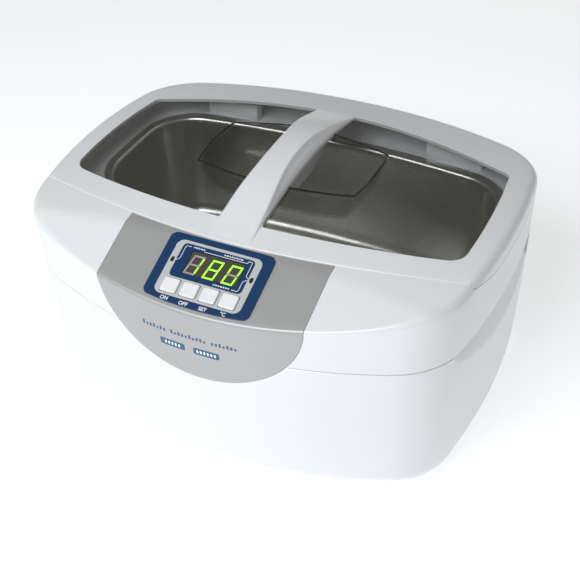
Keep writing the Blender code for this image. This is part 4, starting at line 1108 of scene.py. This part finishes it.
bluePrint = printedFilm("blue_print", (0.025, 0.09, 0.18), (0.035, 0.12, 0.22), 0.4)
ovalPrint = printedFilm("black_print", (0.008, 0.008, 0.008), (0.016, 0.016, 0.016), 0.35)
darkSegments = printedFilm("dark_segments", (0.36, 0.31, 0.29), (0.44, 0.38, 0.36), 0.3)
litFinish = litSegments()


def dress(piece, finish, slotName=None):
    piece.data.materials.clear()
    piece.data.materials.append(finish.material)


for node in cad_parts.values():
    slotName = node.data.materials[0].name
    node.data.materials[0] = finishes[slotName.split(".")[0]].material
for piece, slotName in (*((shell, "white_plastic") for shell in (lowerShell, upperShell, lidFrame)),
                        (lidWindow, "smoked_window"), (bathShell, "tank_steel"),
                        (fasciaPanel, "fascia_silver"), *((cap, "button_white") for cap in buttons)):
    dress(piece, finishes[slotName], slotName)
dress(panelFrame, frameFilm, "fascia_silver")
dress(panelOvals, ovalPrint, "black_plastic")
for piece in (panelLines, buttonLabels, lobeTicks):
    dress(piece, whitePrint, "button_white")
for piece in (lobeLine, lobePills):
    dress(piece, bluePrint, "overlay_blue")
dress(wellRim, mouldedPlastic("smoked_edge", (0.014, 0.014, 0.012), 0.16, 0.5 * mm, 0.004 * mm, 0.004),
      "smoked_window")
dress(digitsLit, litFinish)
dress(digitsDark, darkSegments)


# ---- floor, light and camera

studio = {"cameraTurn": 27.48, "cameraRise": 38.98, "cameraRoll": -2.67, "distance": 0.74559, "lens": 68.73,
          "target": (0.00564, -0.01006, 0.06424), "worldStrength": 0.25, "floorGlow": 0.5}


def makeFloor():
    deselectAll()
    bpy.ops.mesh.primitive_plane_add(size=8)
    floor = bpy.context.object
    floor.name = "studioFloor"
    paper = Finish("floor_paper")
    grain = paper.noise(3 * mm, 3)
    tone = paper.tint(grain, (0.90, 0.915, 0.93), (0.92, 0.935, 0.95))
    paper.surface(Base_Color=tone, Roughness=0.9, Emission_Color=tone, Emission_Strength=studio["floorGlow"])
    dress(floor, paper)


def lamp(name, place, size, power, colour=(1, 1, 1)):
    deselectAll()
    bpy.ops.object.light_add(type="AREA", location=place)
    light = bpy.context.object
    light.name, light.data.shape, light.data.size, light.data.size_y = name, "RECTANGLE", size[0], size[1]
    light.data.energy, light.data.color = power, colour
    aim = Vector((0, 0, 0.08)) - Vector(place)
    light.rotation_euler = aim.to_track_quat("-Z", "Y").to_euler()


def makeCamera():
    turn, rise, roll = (math.radians(studio[key]) for key in ("cameraTurn", "cameraRise", "cameraRoll"))
    back = Vector((math.sin(turn) * math.cos(rise), -math.cos(turn) * math.cos(rise), math.sin(rise)))
    right = (-back).cross(Vector((0, 0, 1))).normalized()
    up = right.cross(-back)
    across = right * math.cos(roll) + up * math.sin(roll)
    upright = up * math.cos(roll) - right * math.sin(roll)
    deselectAll()
    bpy.ops.object.camera_add()
    camera = bpy.context.object
    camera.data.lens, camera.data.sensor_width = studio["lens"], 36
    pose = Matrix((across, upright, back)).transposed().to_4x4()
    camera.matrix_world = Matrix.Translation(Vector(studio["target"]) + back * studio["distance"]) @ pose
    bpy.context.scene.camera = camera


print("setting up the studio")
makeFloor()
lamp("keyLight", (-0.10, -0.62, 0.74), (0.55, 0.45), 5.6, (0.94, 0.97, 1.0))
lamp("fillLight", (-0.9, -0.9, 0.35), (0.7, 0.5), 0.4, (0.92, 0.96, 1.0))
lamp("topLight", (0.1, 0.8, 1.3), (1.0, 0.7), 1.3, (1.0, 0.97, 0.92))
world = bpy.data.worlds.new("studioWorld")
bpy.context.scene.world = world
world.use_nodes = True
world.node_tree.nodes["Background"].inputs["Color"].default_value = (1.0, 0.985, 0.96, 1)
world.node_tree.nodes["Background"].inputs["Strength"].default_value = studio["worldStrength"]
makeCamera()
bpy.context.scene.view_settings.view_transform = "Standard"

print("done")
